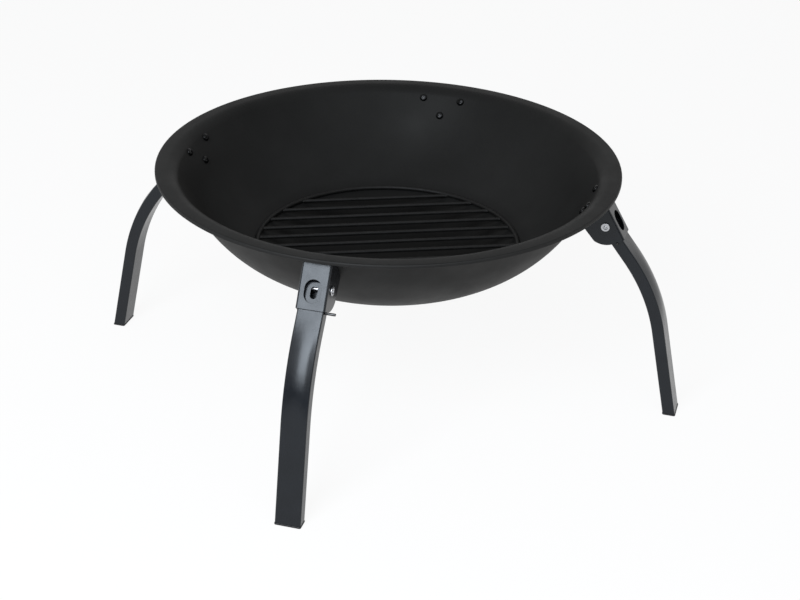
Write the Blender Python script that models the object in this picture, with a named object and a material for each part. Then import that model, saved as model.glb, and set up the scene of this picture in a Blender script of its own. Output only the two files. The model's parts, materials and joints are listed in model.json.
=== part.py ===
"""Round sheet-steel fire bowl on four folding legs, with a loose fire grate.

Metres, +Z up. The origin lies on the floor, on the bowl's axis. The front leg points to -Y.
Each leg hangs in a folded sheet bracket on a rivet, and folds inward under the bowl.
Leg stations are modelled with +X pointing outward from the bowl, and are turned about Z.
"""
import bmesh
import bpy
from math import cos, pi, radians, sin, sqrt, tan
from mathutils import Matrix, Vector

# Running gap between pieces that touch
GAP = 0.0003

# Bowl
RIM_RADIUS = 0.270
RIM_TOP = 0.2719
HEM_DROP = 0.0044
HEM_BEND = 0.0020
LIP_SLOPE = radians(1.5)
LIP_BEND = 0.0140
LIP_WIDTH = 0.0224
WALL_LEAN = radians(29.5)
WALL_LENGTH = 0.0356
BELLY_RADIUS = 0.1721
BOWL_SHEET = 0.0015

# Fire grate
GRATE_RING_RADIUS = 0.1550
GRATE_RING_WIRE = 0.0026
GRATE_BAR_WIRE = 0.0022
GRATE_BAR_DROP = 0.0010
GRATE_BAR_PITCH = 0.0248
GRATE_BAR_COUNT = 11
GRATE_TURN = radians(23.8)

# Bracket
BRACKET_SHEET = 0.0015
BRACKET_FOLD = 0.0025
PLATE_LEAN = radians(30.2)
PLATE_CLEARANCE = 0.00095
PLATE_UP = 0.0270
PLATE_DOWN = 0.0229
PLATE_SLOT_WIDTH = 0.0188
PLATE_SLOT_LENGTH = 0.0250
PLATE_SLOT_DROP = 0.0036
CHEEK_ARC = 0.0225
CHEEK_CORNER_ANGLE = radians(238.0)
EAR_WIDTH = 0.0157
FLANGE_TOP = 0.0005
EAR_BOTTOM = 0.0112
TONGUE_BOTTOM = 0.0365
CHEEK_BOTTOM = 0.0318

# Pivot, measured from the top of the bowl's straight wall
PIVOT_OUT = 0.0153
PIVOT_DOWN = 0.0304
RIVET_SHANK = 0.0025
RIVET_HEAD = 0.0050
RIVET_HEAD_HEIGHT = 0.0014

# Leg
LEG_WIDTH = 0.0290
LEG_DEPTH = 0.0142
LEG_WALL = 0.0015
LEG_CORNER = 0.0016
LEG_UPPER_LEAN = radians(38.0)
LEG_LOWER_LEAN = radians(11.8)
LEG_HEAD = 0.0088
LEG_HEAD_FRONT_ROUND = 0.0040
LEG_HEAD_BACK_ROUND = 0.0065
LEG_UPPER_LENGTH = 0.0484
LEG_BEND = 0.2150
LEG_HOLE_WIDTH = 0.0078
LEG_HOLE_LENGTH = 0.0132
LEG_HOLE_DROP = 0.0058
LEG_RELEASE = 0.0035

# Stop pin
PIN_RADIUS = 0.0015
PIN_STAND = 0.0095
PIN_CHAMFER = 0.0003

# Foot cap
FOOT_FLANGE = 0.0020
FOOT_PROUD = 0.0005
FOOT_PLUG_LENGTH = 0.0120
FOOT_PLUG_CORNER = 0.0008

# Bracket screws and nuts
SCREW_SHANK = 0.0020
SCREW_HEAD = 0.0046
SCREW_HEAD_HEIGHT = 0.0034
SCREW_TAIL = 0.0008
NUT_ACROSS_FLATS = 0.0070
NUT_HEIGHT = 0.0032
UPPER_SCREW_OUT = 0.0084
UPPER_SCREW_DROP = 0.0052
LOWER_SCREW_DROP = 0.0264

# Facets round a full turn
BOWL_FACETS = 64
WIRE_FACETS = 8
HOLE_FACETS = 16
SMALL_FACETS = 12

# Steps along the bowl's belly, round its lip, and down the leg's bend
BELLY_STEPS = 9
LIP_STEPS = 3
LEG_STEPS = 7

# Merge distance, how far a cutter reaches past what it cuts, and the least angle of a sharp edge
WELD = 0.00001
REACH = 0.0100
SHARP_ANGLE = radians(35.0)

STATIONS = {"front": -90.0, "right": 0.0, "back": 90.0, "left": 180.0}


def point(r, z):
    """A point in the plane of a leg, as a two-number vector."""
    return Vector((r, z))


def leaning(angle):
    """Unit vector down and outward, leaning by an angle from the vertical."""
    return point(sin(angle), -cos(angle))


def facing(angle):
    """Unit normal of such a line, pointing outward and up."""
    return point(cos(angle), sin(angle))


# Bowl section. The under side is followed by its length, from the top of the straight wall

LIP_CORNER = point(RIM_RADIUS - LIP_WIDTH, RIM_TOP - LIP_WIDTH * tan(LIP_SLOPE))
WALL_DOWN = point(-sin(WALL_LEAN), -cos(WALL_LEAN))
WALL_OUT = point(cos(WALL_LEAN), -sin(WALL_LEAN))
LIP_TURN = pi / 2 - WALL_LEAN - LIP_SLOPE
TOP_TANGENT = LIP_CORNER + WALL_DOWN * (LIP_BEND * tan(LIP_TURN / 2))
LIP_CENTRE = TOP_TANGENT + WALL_OUT * LIP_BEND
WALL_TOP = TOP_TANGENT + WALL_OUT * BOWL_SHEET
WALL_END = WALL_TOP + WALL_DOWN * WALL_LENGTH
BELLY_CENTRE = WALL_END - WALL_OUT * BELLY_RADIUS

PIVOT = WALL_TOP + point(PIVOT_OUT, -PIVOT_DOWN)

# The cheeks stand just off the leg's sides, and the outer plate clears the leg at its lower edge
BRACKET_WIDTH = LEG_WIDTH + 2 * (GAP + BRACKET_SHEET)
LEG_TO_PLATE = LEG_UPPER_LEAN - PLATE_LEAN
LEG_FACE = (LEG_DEPTH / 2 + PLATE_DOWN * sin(LEG_TO_PLATE)) / cos(LEG_TO_PLATE)
PLATE_OFFSET = LEG_FACE + PLATE_CLEARANCE + BRACKET_SHEET

# The stop pin lies on the leg's centre line, just past the round of the cheeks
PIN_DOWN = CHEEK_ARC + PIN_RADIUS + GAP


def under_side(length, offset):
    """Point at a length below the wall's top and an offset outside the sheet."""
    if length <= WALL_LENGTH:
        return WALL_TOP + WALL_DOWN * length + WALL_OUT * offset
    turn = (length - WALL_LENGTH) / BELLY_RADIUS
    normal = point(cos(WALL_LEAN + turn), -sin(WALL_LEAN + turn))
    return BELLY_CENTRE + normal * (BELLY_RADIUS + offset)


def clean(bm):
    """Weld doubles and turn all faces outward."""
    bmesh.ops.remove_doubles(bm, verts=bm.verts, dist=WELD)
    bmesh.ops.recalc_face_normals(bm, faces=bm.faces)
    return bm


def to_mesh(bm, name):
    """Turn a bmesh into mesh data and free it."""
    mesh = bpy.data.meshes.new(name)
    clean(bm).to_mesh(mesh)
    bm.free()
    return mesh


def add_object(name, mesh, material=None, parent=None, location=(0, 0, 0), rotation=(0, 0, 0)):
    """Place a named object and shade its round faces smooth."""
    item = bpy.data.objects.new(name, mesh)
    bpy.context.scene.collection.objects.link(item)
    item.parent = parent
    item.location = location
    item.rotation_euler = rotation
    if material is not None and not mesh.materials:
        mesh.materials.append(material)
    mesh.shade_smooth()
    mesh.set_sharp_from_angle(angle=SHARP_ANGLE)
    return item


def combine(mesh, steps, name):
    """Cut, join or keep a mesh with a list of (operation, mesh) steps."""
    body = add_object(name + "_body", mesh)
    tools = []
    for operation, other in steps:
        tool = add_object(name + "_tool", other)
        tool.hide_render = True
        tool.display_type = "WIRE"
        modifier = body.modifiers.new(operation, "BOOLEAN")
        modifier.operation = operation
        modifier.solver = "EXACT"
        modifier.object = tool
        tools.append(tool)
    graph = bpy.context.evaluated_depsgraph_get()
    result = bpy.data.meshes.new_from_object(body.evaluated_get(graph))
    result.name = name
    for item in [body] + tools:
        bpy.data.objects.remove(item)
    return result


def extruded(outline, width, name):
    """Prism of a closed (x, z) outline, centred on y = 0."""
    bm = bmesh.new()
    ring = [bm.verts.new((x, -width / 2, z)) for x, z in outline]
    face = bm.faces.new(ring)
    grown = bmesh.ops.extrude_face_region(bm, geom=[face])
    moved = [part for part in grown["geom"] if isinstance(part, bmesh.types.BMVert)]
    bmesh.ops.translate(bm, verts=moved, vec=(0, width, 0))
    return to_mesh(bm, name)


def turned(profile, facets, name):
    """Solid turned about Z from an (r, z) profile that starts and ends on the axis, or is closed."""
    bm = bmesh.new()
    verts = [bm.verts.new((r, 0, z)) for r, z in profile]
    edges = [bm.edges.new(pair) for pair in zip(verts, verts[1:])]
    if profile[0][0] > WELD:
        edges.append(bm.edges.new((verts[-1], verts[0])))
    bmesh.ops.spin(
        bm, geom=verts + edges, cent=(0, 0, 0), axis=(0, 0, 1),
        angle=2 * pi, steps=facets, use_merge=True,
    )
    return to_mesh(bm, name)


def rod(radius, length, facets, name, axis="Z", centre=(0, 0, 0)):
    """Plain round rod, centred on a point."""
    half = length / 2
    mesh = turned([(0, -half), (radius, -half), (radius, half), (0, half)], facets, name)
    turns = {"Y": Matrix.Rotation(pi / 2, 4, "X"), "Z": Matrix()}
    mesh.transform(Matrix.Translation(centre) @ turns[axis])
    return mesh


def arc(centre, radius, start, end, steps):
    """Points along an arc, both ends included."""
    turns = [start + (end - start) * i / steps for i in range(steps + 1)]
    return [point(centre[0] + radius * cos(a), centre[1] + radius * sin(a)) for a in turns]


def stadium(width, length, depth, name):
    """Cutter with round ends: length along Z, width along Y and depth along X."""
    radius = width / 2
    run = length / 2 - radius
    top = arc((0, run), radius, 0, pi, HOLE_FACETS // 2)
    bottom = arc((0, -run), radius, pi, 2 * pi, HOLE_FACETS // 2)
    mesh = extruded(top + bottom, depth, name)
    mesh.transform(Matrix.Rotation(pi / 2, 4, "Z"))
    return mesh


def placed(mesh, at, lean=0.0):
    """Move a mesh to an (r, z) point and lean its Z axis, so that -Z follows leaning(lean)."""
    mesh.transform(Matrix.Translation((at[0], 0, at[1])) @ Matrix.Rotation(-lean, 4, "Y"))
    return mesh


def finish(name, colour, roughness, metallic):
    """Principled material from the piece's colour, roughness and metallic value."""
    material = bpy.data.materials.new(name)
    material.use_nodes = True
    shader = material.node_tree.nodes["Principled BSDF"]
    shader.inputs["Base Color"].default_value = (*colour, 1.0)
    shader.inputs["Roughness"].default_value = roughness
    shader.inputs["Metallic"].default_value = metallic
    return material


def bowl_section():
    """Closed section of the bowl, from the axis along the inside and back along the under side."""
    floor_in = BELLY_CENTRE[1] - BELLY_RADIUS + BOWL_SHEET
    floor_out = BELLY_CENTRE[1] - BELLY_RADIUS
    inside = [point(0, floor_in)]
    inside += arc(BELLY_CENTRE, BELLY_RADIUS - BOWL_SHEET, -pi / 2, -WALL_LEAN, BELLY_STEPS)
    inside += arc(LIP_CENTRE, LIP_BEND, pi - WALL_LEAN, pi / 2 + LIP_SLOPE, LIP_STEPS)
    lip_edge = point(RIM_RADIUS - HEM_BEND, RIM_TOP - HEM_BEND)
    inside += arc(lip_edge, HEM_BEND, pi / 2 + LIP_SLOPE, 0, LIP_STEPS)
    under = [point(0, floor_out)]
    under += arc(BELLY_CENTRE, BELLY_RADIUS, -pi / 2, -WALL_LEAN, BELLY_STEPS)
    under += arc(LIP_CENTRE, LIP_BEND - BOWL_SHEET, pi - WALL_LEAN, pi / 2 + LIP_SLOPE, LIP_STEPS)
    under += arc(lip_edge, HEM_BEND - BOWL_SHEET, pi / 2 + LIP_SLOPE, 0, 2)
    hem_bottom = RIM_TOP - HEM_DROP
    hem = [point(RIM_RADIUS, hem_bottom), point(RIM_RADIUS - BOWL_SHEET, hem_bottom)]
    return inside + hem + under[::-1]


def screw_places():
    """Name, turn about the bowl's axis and length down the wall of each bracket screw."""
    spread = (BRACKET_WIDTH / 2 + UPPER_SCREW_OUT) / under_side(UPPER_SCREW_DROP, 0)[0]
    return [
        ("upper_left", -spread, UPPER_SCREW_DROP),
        ("upper_right", spread, UPPER_SCREW_DROP),
        ("lower", 0.0, LOWER_SCREW_DROP),
    ]


def screw_hole(turn, drop):
    """Cutter for one screw, square to the bowl's wall."""
    hole = rod(SCREW_SHANK + GAP, 2 * REACH, HOLE_FACETS, "screw_hole")
    placed(hole, under_side(drop, 0), pi / 2 - WALL_LEAN)
    hole.transform(Matrix.Rotation(turn, 4, "Z"))
    return hole


def bowl_mesh():
    """The dish with its twelve screw holes."""
    holes = []
    for degrees in STATIONS.values():
        for _, turn, drop in screw_places():
            hole = screw_hole(turn, drop)
            hole.transform(Matrix.Rotation(radians(degrees), 4, "Z"))
            holes.append(("DIFFERENCE", hole))
    dish = turned(bowl_section(), BOWL_FACETS, "bowl_blank")
    return combine(dish, holes, "bowl")


def grate_height():
    """Height of the ring's wire where it rests inside the belly."""
    reach = BELLY_RADIUS - BOWL_SHEET - GAP - GRATE_RING_WIRE
    along = GRATE_RING_RADIUS - BELLY_CENTRE[0]
    return BELLY_CENTRE[1] - sqrt(reach ** 2 - along ** 2)


def grate_ring_mesh():
    """Round wire ring."""
    section = arc((GRATE_RING_RADIUS, 0), GRATE_RING_WIRE, 0, 2 * pi, WIRE_FACETS)[:-1]
    return turned(section, BOWL_FACETS, "grate_ring")


def grate_bar_mesh(offset):
    """One rod of the grate, its ends cut to the inside of the ring."""
    reach = GRATE_RING_RADIUS - GRATE_RING_WIRE - GAP
    bm = bmesh.new()
    rings = []
    for side in (-1, 1):
        ring = []
        for i in range(WIRE_FACETS):
            turn = 2 * pi * (i + 0.5) / WIRE_FACETS
            across = offset + GRATE_BAR_WIRE * cos(turn)
            along = side * sqrt(reach ** 2 - across ** 2)
            ring.append(bm.verts.new((along, across, GRATE_BAR_WIRE * sin(turn))))
        rings.append(ring)
    for i in range(WIRE_FACETS):
        j = (i + 1) % WIRE_FACETS
        bm.faces.new((rings[0][i], rings[0][j], rings[1][j], rings[1][i]))
    for ring in rings:
        bm.faces.new(ring)
    bmesh.ops.triangulate(bm, faces=[face for face in bm.faces if len(face.verts) > 4])
    return to_mesh(bm, "grate_bar")


def plate_frame(along, offset):
    """Point from the pivot, along the outer plate and out from it."""
    return PIVOT + leaning(PLATE_LEAN) * along + facing(PLATE_LEAN) * offset


def leg_frame(along, offset):
    """Point from the pivot, along the leg's upper run and out from it."""
    return PIVOT + leaning(LEG_UPPER_LEAN) * along + facing(LEG_UPPER_LEAN) * offset


def channel_section():
    """Folded channel across the bracket: (y, n) points, with n out from the pivot."""
    half = BRACKET_WIDTH / 2
    inner = half - BRACKET_SHEET
    bend = BRACKET_FOLD - BRACKET_SHEET
    depth = -(PIVOT_OUT + CHEEK_BOTTOM)
    outer_right = arc((half - BRACKET_FOLD, PLATE_OFFSET - BRACKET_FOLD), BRACKET_FOLD, 0, pi / 2, 3)
    outer_left = arc((BRACKET_FOLD - half, PLATE_OFFSET - BRACKET_FOLD), BRACKET_FOLD, pi / 2, pi, 3)
    inner_left = arc((BRACKET_FOLD - half, PLATE_OFFSET - BRACKET_FOLD), bend, pi, pi / 2, 2)
    inner_right = arc((half - BRACKET_FOLD, PLATE_OFFSET - BRACKET_FOLD), bend, pi / 2, 0, 2)
    outer = [point(half, depth)] + outer_right + outer_left + [point(-half, depth)]
    return outer + [point(-inner, depth)] + inner_left + inner_right + [point(inner, depth)]


def channel_mesh():
    """Long folded channel that runs along the outer plate."""
    mesh = extruded(channel_section(), 2 * (PLATE_UP + PLATE_DOWN), "channel")
    mesh.transform(Matrix.Rotation(pi / 2, 4, "X") @ Matrix.Rotation(pi / 2, 4, "Y"))
    return mesh


def cheek_outline():
    """Side view of the bracket, counted round from the plate's top."""
    back = GAP + BRACKET_SHEET / 2
    arc_start = LEG_UPPER_LEAN - pi / 2
    notch = PIN_RADIUS + GAP
    outline = [plate_frame(-PLATE_UP, PLATE_OFFSET + REACH), plate_frame(PLATE_DOWN, PLATE_OFFSET + REACH)]
    outline += [plate_frame(PLATE_DOWN, PLATE_OFFSET - BRACKET_SHEET - GAP)]
    outline += [leg_frame(PIN_DOWN + GAP, notch), leg_frame(CHEEK_ARC - GAP, notch)]
    outline += arc(PIVOT, CHEEK_ARC, arc_start, CHEEK_CORNER_ANGLE - 2 * pi, 8)[1:]
    outline += [under_side(CHEEK_BOTTOM, back), under_side(FLANGE_TOP, back)]
    return outline


def back_flange_mesh():
    """T-shaped flange that follows the bowl's wall: ears at the top and a tongue below."""
    ear = BRACKET_WIDTH / 2 + EAR_WIDTH
    tongue = BRACKET_WIDTH / 2 - BRACKET_SHEET / 2
    across = [-ear, -(ear + tongue) / 2, -tongue, -tongue / 2, 0, tongue / 2, tongue, (ear + tongue) / 2, ear]
    downs = [FLANGE_TOP, EAR_BOTTOM, WALL_LENGTH, TONGUE_BOTTOM]
    bm = bmesh.new()
    sheets = []
    for offset in (GAP, GAP + BRACKET_SHEET):
        grid = {}
        for i, y in enumerate(across):
            turn = y / WALL_TOP[0]
            for j, down in enumerate(downs):
                if down > EAR_BOTTOM and abs(y) > tongue + WELD:
                    continue
                r, z = under_side(down, offset)
                grid[i, j] = bm.verts.new((r * cos(turn), r * sin(turn), z))
        sheets.append(grid)
    cells = [(i, j) for i, j in sheets[0] if all(k in sheets[0] for k in ((i + 1, j), (i, j + 1), (i + 1, j + 1)))]
    counts = {}
    for i, j in cells:
        corners = [(i, j), (i + 1, j), (i + 1, j + 1), (i, j + 1)]
        for grid in sheets:
            bm.faces.new([grid[corner] for corner in corners])
        for pair in zip(corners, corners[1:] + corners[:1]):
            counts[frozenset(pair)] = counts.get(frozenset(pair), 0) + 1
    for pair, count in counts.items():
        if count == 1:
            a, b = sorted(pair)
            bm.faces.new((sheets[0][a], sheets[0][b], sheets[1][b], sheets[1][a]))
    return to_mesh(bm, "back_flange")


def bracket_mesh():
    """Folded channel, cut to its side view, on its back flange."""
    steps = [("INTERSECT", extruded(cheek_outline(), 2 * BRACKET_WIDTH, "cheeks"))]
    steps.append(("UNION", back_flange_mesh()))
    slot = stadium(PLATE_SLOT_WIDTH, PLATE_SLOT_LENGTH, REACH, "plate_slot")
    steps.append(("DIFFERENCE", placed(slot, plate_frame(PLATE_SLOT_DROP, PLATE_OFFSET), PLATE_LEAN)))
    rivet_hole = rod(RIVET_SHANK + GAP, 2 * BRACKET_WIDTH, HOLE_FACETS, "rivet_hole", "Y", (PIVOT[0], 0, PIVOT[1]))
    steps.append(("DIFFERENCE", rivet_hole))
    for _, turn, drop in screw_places():
        steps.append(("DIFFERENCE", screw_hole(turn, drop)))
    blank = placed(channel_mesh(), PIVOT, PLATE_LEAN)
    return combine(blank, steps, "bracket")


def leg_path():
    """Stations down the leg from the pivot: (r, z) and the lean there, at rest."""
    head = leaning(LEG_UPPER_LEAN) * -LEG_HEAD
    bend_start = leaning(LEG_UPPER_LEAN) * LEG_UPPER_LENGTH
    centre = bend_start - facing(LEG_UPPER_LEAN) * LEG_BEND
    path = [(head, LEG_UPPER_LEAN)]
    for i in range(LEG_STEPS + 1):
        lean = LEG_UPPER_LEAN + (LEG_LOWER_LEAN - LEG_UPPER_LEAN) * i / LEG_STEPS
        path.append((centre + facing(lean) * LEG_BEND, lean))
    return path


def section_points(width, depth, corner):
    """Rounded rectangle: (n, y) points, with n across the depth."""
    steps = 2
    points = []
    for quarter, (sn, sy) in enumerate(((1, 1), (-1, 1), (-1, -1), (1, -1))):
        centre = (sn * (depth / 2 - corner), sy * (width / 2 - corner))
        points += arc(centre, corner, quarter * pi / 2, (quarter + 1) * pi / 2, steps)
    return points


def lofted(sections, name):
    """Closed solid through rings of points, capped at both ends."""
    bm = bmesh.new()
    rings = [[bm.verts.new(p) for p in section] for section in sections]
    count = len(rings[0])
    for upper, lower in zip(rings, rings[1:]):
        for i in range(count):
            j = (i + 1) % count
            bm.faces.new((upper[i], upper[j], lower[j], lower[i]))
    bm.faces.new(rings[0])
    bm.faces.new(rings[-1])
    return to_mesh(bm, name)


def station_ring(at, lean, outline):
    """Ring square to the leg at a point of its path."""
    out = facing(lean)
    return [(at[0] + out[0] * n, y, at[1] + out[1] * n) for n, y in outline]


def level_ring(at, lean, outline, z):
    """Ring where the leg's straight run, through a point, meets a level plane."""
    down = leaning(lean)
    ring = []
    for r, y, height in station_ring(at, lean, outline):
        run = (height - z) / -down[1]
        ring.append((r + down[0] * run, y, z))
    return ring


TUBE_END = FOOT_FLANGE + GAP - PIVOT[1]


def tube_solid(width, depth, corner, past, name):
    """The leg's outer form, or its hollow where it runs past both ends."""
    outline = section_points(width, depth, corner)
    path = leg_path()
    head, lean = path[0]
    rings = [station_ring(head - leaning(lean) * past, lean, outline)]
    rings += [station_ring(at, lean, outline) for at, lean in path[1:]]
    last, lean = path[-1]
    rings.append(level_ring(last, lean, outline, TUBE_END - past))
    return lofted(rings, name)


def head_cut(side, radius):
    """Cutter that rounds the leg's head on its outer (1) or inner (-1) face."""
    top = LEG_DEPTH / 2
    rounding = arc((top - radius, LEG_HEAD - radius), radius, pi / 2, 0, 4)
    corner = [point(top + REACH, LEG_HEAD - radius), point(top + REACH, LEG_HEAD + REACH)]
    corner += [point(top - radius, LEG_HEAD + REACH)]
    outline = [point(side * n, along) for n, along in corner + rounding]
    return placed(extruded(outline, 2 * LEG_WIDTH, "head_cut"), (0, 0), LEG_UPPER_LEAN)


def leg_mesh():
    """Bent tube about its pivot, open at both ends."""
    inner_corner = max(LEG_CORNER - LEG_WALL, LEG_WALL / 3)
    hollow = tube_solid(LEG_WIDTH - 2 * LEG_WALL, LEG_DEPTH - 2 * LEG_WALL, inner_corner, REACH, "hollow")
    steps = [("DIFFERENCE", hollow)]
    steps.append(("DIFFERENCE", head_cut(1, LEG_HEAD_FRONT_ROUND)))
    steps.append(("DIFFERENCE", head_cut(-1, LEG_HEAD_BACK_ROUND)))
    slot = stadium(2 * (RIVET_SHANK + GAP), 2 * (RIVET_SHANK + GAP) + LEG_RELEASE, 2 * LEG_WIDTH, "rivet_slot")
    slot.transform(Matrix.Rotation(pi / 2, 4, "Z"))
    slot.transform(Matrix.Translation((0, 0, LEG_RELEASE / 2)))
    steps.append(("DIFFERENCE", placed(slot, (0, 0), LEG_UPPER_LEAN)))
    pin_hole = rod(PIN_RADIUS + GAP, 2 * LEG_WIDTH, HOLE_FACETS, "pin_hole", "Y", (0, 0, -PIN_DOWN))
    steps.append(("DIFFERENCE", placed(pin_hole, (0, 0), LEG_UPPER_LEAN)))
    oblong = stadium(LEG_HOLE_WIDTH, LEG_HOLE_LENGTH, LEG_DEPTH, "oblong_hole")
    oblong.transform(Matrix.Translation((LEG_DEPTH / 2, 0, -LEG_HOLE_DROP)))
    steps.append(("DIFFERENCE", placed(oblong, (0, 0), LEG_UPPER_LEAN)))
    blank = tube_solid(LEG_WIDTH, LEG_DEPTH, LEG_CORNER, 0.0, "leg_blank")
    return combine(blank, steps, "leg")


def rivet_mesh():
    """Rivet along Y: a shank, and at each end a ringed head outside the cheek."""
    seat = BRACKET_WIDTH / 2 + GAP
    face = seat + RIVET_HEAD_HEIGHT
    groove = RIVET_HEAD_HEIGHT / 3
    half = [(RIVET_SHANK, seat), (RIVET_HEAD, seat), (RIVET_HEAD, face - groove), (RIVET_HEAD - groove, face)]
    half += [(RIVET_SHANK, face), (RIVET_SHANK - groove, face - groove), (0, face - groove)]
    profile = [(r, -y) for r, y in half[::-1]] + half
    mesh = turned(profile, HOLE_FACETS, "rivet")
    mesh.transform(Matrix.Rotation(pi / 2, 4, "X"))
    return mesh


def pin_mesh():
    """Round pin along Y with chamfered ends: flush with one cheek, and standing out of the other."""
    start = -BRACKET_WIDTH / 2
    end = BRACKET_WIDTH / 2 + PIN_STAND
    slope = PIN_RADIUS - PIN_CHAMFER
    profile = [(0, -end), (slope, -end), (PIN_RADIUS, PIN_CHAMFER - end)]
    profile += [(PIN_RADIUS, -start - PIN_CHAMFER), (slope, -start), (0, -start)]
    mesh = turned(profile, SMALL_FACETS, "pin")
    mesh.transform(Matrix.Rotation(pi / 2, 4, "X"))
    return mesh


def foot_cap_mesh():
    """Plastic plug: a flange under the tube's end and a stem up inside it, about the pivot."""
    last, lean = leg_path()[-1]
    flange = section_points(LEG_WIDTH + 2 * FOOT_PROUD, LEG_DEPTH + 2 * FOOT_PROUD, LEG_CORNER + FOOT_PROUD)
    inner = 2 * (LEG_WALL + GAP)
    stem = section_points(LEG_WIDTH - inner, LEG_DEPTH - inner, FOOT_PLUG_CORNER)
    floor = -PIVOT[1]
    rings = [level_ring(last, lean, flange, floor), level_ring(last, lean, flange, floor + FOOT_FLANGE)]
    rings += [level_ring(last, lean, stem, floor + FOOT_FLANGE)]
    rings += [level_ring(last, lean, stem, floor + FOOT_FLANGE + FOOT_PLUG_LENGTH)]
    return lofted(rings, "foot_cap")


def screw_mesh():
    """Domed screw along Z: the head above the sheet, the shank down through the nut."""
    seat = BOWL_SHEET + GAP
    tail = -(GAP + BRACKET_SHEET + GAP + NUT_HEIGHT + SCREW_TAIL)
    rim = SCREW_HEAD_HEIGHT / 4
    dome = [(SCREW_HEAD, seat), (SCREW_HEAD, seat + rim)]
    for turn in (30, 60):
        rise = rim + (SCREW_HEAD_HEIGHT - rim) * sin(radians(turn))
        dome.append((SCREW_HEAD * cos(radians(turn)), seat + rise))
    dome.append((0, seat + SCREW_HEAD_HEIGHT))
    return turned([(0, tail), (SCREW_SHANK, tail), (SCREW_SHANK, seat)] + dome, SMALL_FACETS, "screw")


def nut_mesh():
    """Hexagon nut along Z, below its origin, with a clear bore."""
    top = -(GAP + BRACKET_SHEET + GAP)
    corner = NUT_ACROSS_FLATS / 2 / cos(pi / 6)
    hexagon = arc((0, 0), corner, 0, 2 * pi, 6)[:-1]
    blank = extruded(hexagon, NUT_HEIGHT, "nut_blank")
    blank.transform(Matrix.Rotation(pi / 2, 4, "X"))
    blank.transform(Matrix.Translation((0, 0, top - NUT_HEIGHT / 2)))
    bore = rod(SCREW_SHANK + GAP, 4 * NUT_HEIGHT, SMALL_FACETS, "nut_bore", "Z", (0, 0, top))
    return combine(blank, [("DIFFERENCE", bore)], "nut")


def empty(name, location, rotation):
    """Axis helper that carries the pieces of one station."""
    item = bpy.data.objects.new(name, None)
    bpy.context.scene.collection.objects.link(item)
    item.location = location
    item.rotation_euler = rotation
    return item


def build_grate():
    """Ring and rods, on an empty at the ring's centre."""
    steel = finish("grate_steel", (0.030, 0.029, 0.028), 0.62, 0.3)
    carrier = empty("grate_centre", (0, 0, grate_height()), (0, 0, GRATE_TURN))
    add_object("grate_ring", grate_ring_mesh(), steel, carrier)
    for i in range(GRATE_BAR_COUNT):
        offset = (i - (GRATE_BAR_COUNT - 1) / 2) * GRATE_BAR_PITCH
        add_object(f"grate_bar_{i + 1:02d}", grate_bar_mesh(offset), steel, carrier, (0, 0, -GRATE_BAR_DROP))


def build_station(side, degrees, meshes):
    """One bracket with its leg, rivet, pin, foot cap, screws and nuts."""
    turn = radians(degrees)
    axis = empty(side + "_station", (0, 0, 0), (0, 0, turn))
    pivot = empty(side + "_pivot", (PIVOT[0] * cos(turn), PIVOT[0] * sin(turn), PIVOT[1]), (0, 0, turn))
    add_object(side + "_bracket", meshes["bracket"], parent=axis)
    add_object(side + "_leg", meshes["leg"], parent=pivot)
    add_object(side + "_pivot_rivet", meshes["rivet"], parent=pivot)
    pin = leg_frame(PIN_DOWN, 0) - PIVOT
    add_object(side + "_stop_pin", meshes["pin"], parent=pivot, location=(pin[0], 0, pin[1]))
    add_object(side + "_foot_cap", meshes["foot_cap"], parent=pivot)
    for place, swing, drop in screw_places():
        r, z = under_side(drop, 0)
        spot = (r * cos(swing), r * sin(swing), z)
        tilt = (0, WALL_LEAN - pi / 2, swing)
        add_object(f"{side}_{place}_screw", meshes["screw"], parent=axis, location=spot, rotation=tilt)
        add_object(f"{side}_{place}_nut", meshes["nut"], parent=axis, location=spot, rotation=tilt)


def main():
    """Clear the scene and build the fire bowl."""
    for item in list(bpy.data.objects):
        bpy.data.objects.remove(item)
    bowl_paint = finish("bowl_paint", (0.036, 0.036, 0.034), 0.55, 0.0)
    black_paint = finish("black_paint", (0.030, 0.031, 0.034), 0.32, 0.0)
    black_screw = finish("black_screw", (0.020, 0.020, 0.022), 0.40, 0.6)
    zinc = finish("zinc", (0.62, 0.63, 0.65), 0.30, 1.0)
    plastic = finish("foot_plastic", (0.015, 0.015, 0.016), 0.55, 0.0)
    meshes = {
        "bracket": (bracket_mesh(), black_paint), "leg": (leg_mesh(), black_paint),
        "rivet": (rivet_mesh(), zinc), "pin": (pin_mesh(), black_screw), "foot_cap": (foot_cap_mesh(), plastic),
        "screw": (screw_mesh(), black_screw), "nut": (nut_mesh(), black_screw),
    }
    for mesh, material in meshes.values():
        mesh.materials.clear()
        mesh.materials.append(material)
    bowl = bowl_mesh()
    bowl.materials.clear()
    add_object("bowl", bowl, bowl_paint)
    build_grate()
    for side, degrees in STATIONS.items():
        build_station(side, degrees, {key: mesh for key, (mesh, _) in meshes.items()})
    bpy.context.view_layer.update()


main()
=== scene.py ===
"""Looks of a folding fire bowl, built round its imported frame."""

import json
from math import cos, pi, radians, sin, sqrt, tan

import bmesh
import bpy
from bpy.props import FloatProperty, FloatVectorProperty, IntProperty, PointerProperty
from mathutils import Matrix, Vector


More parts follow.
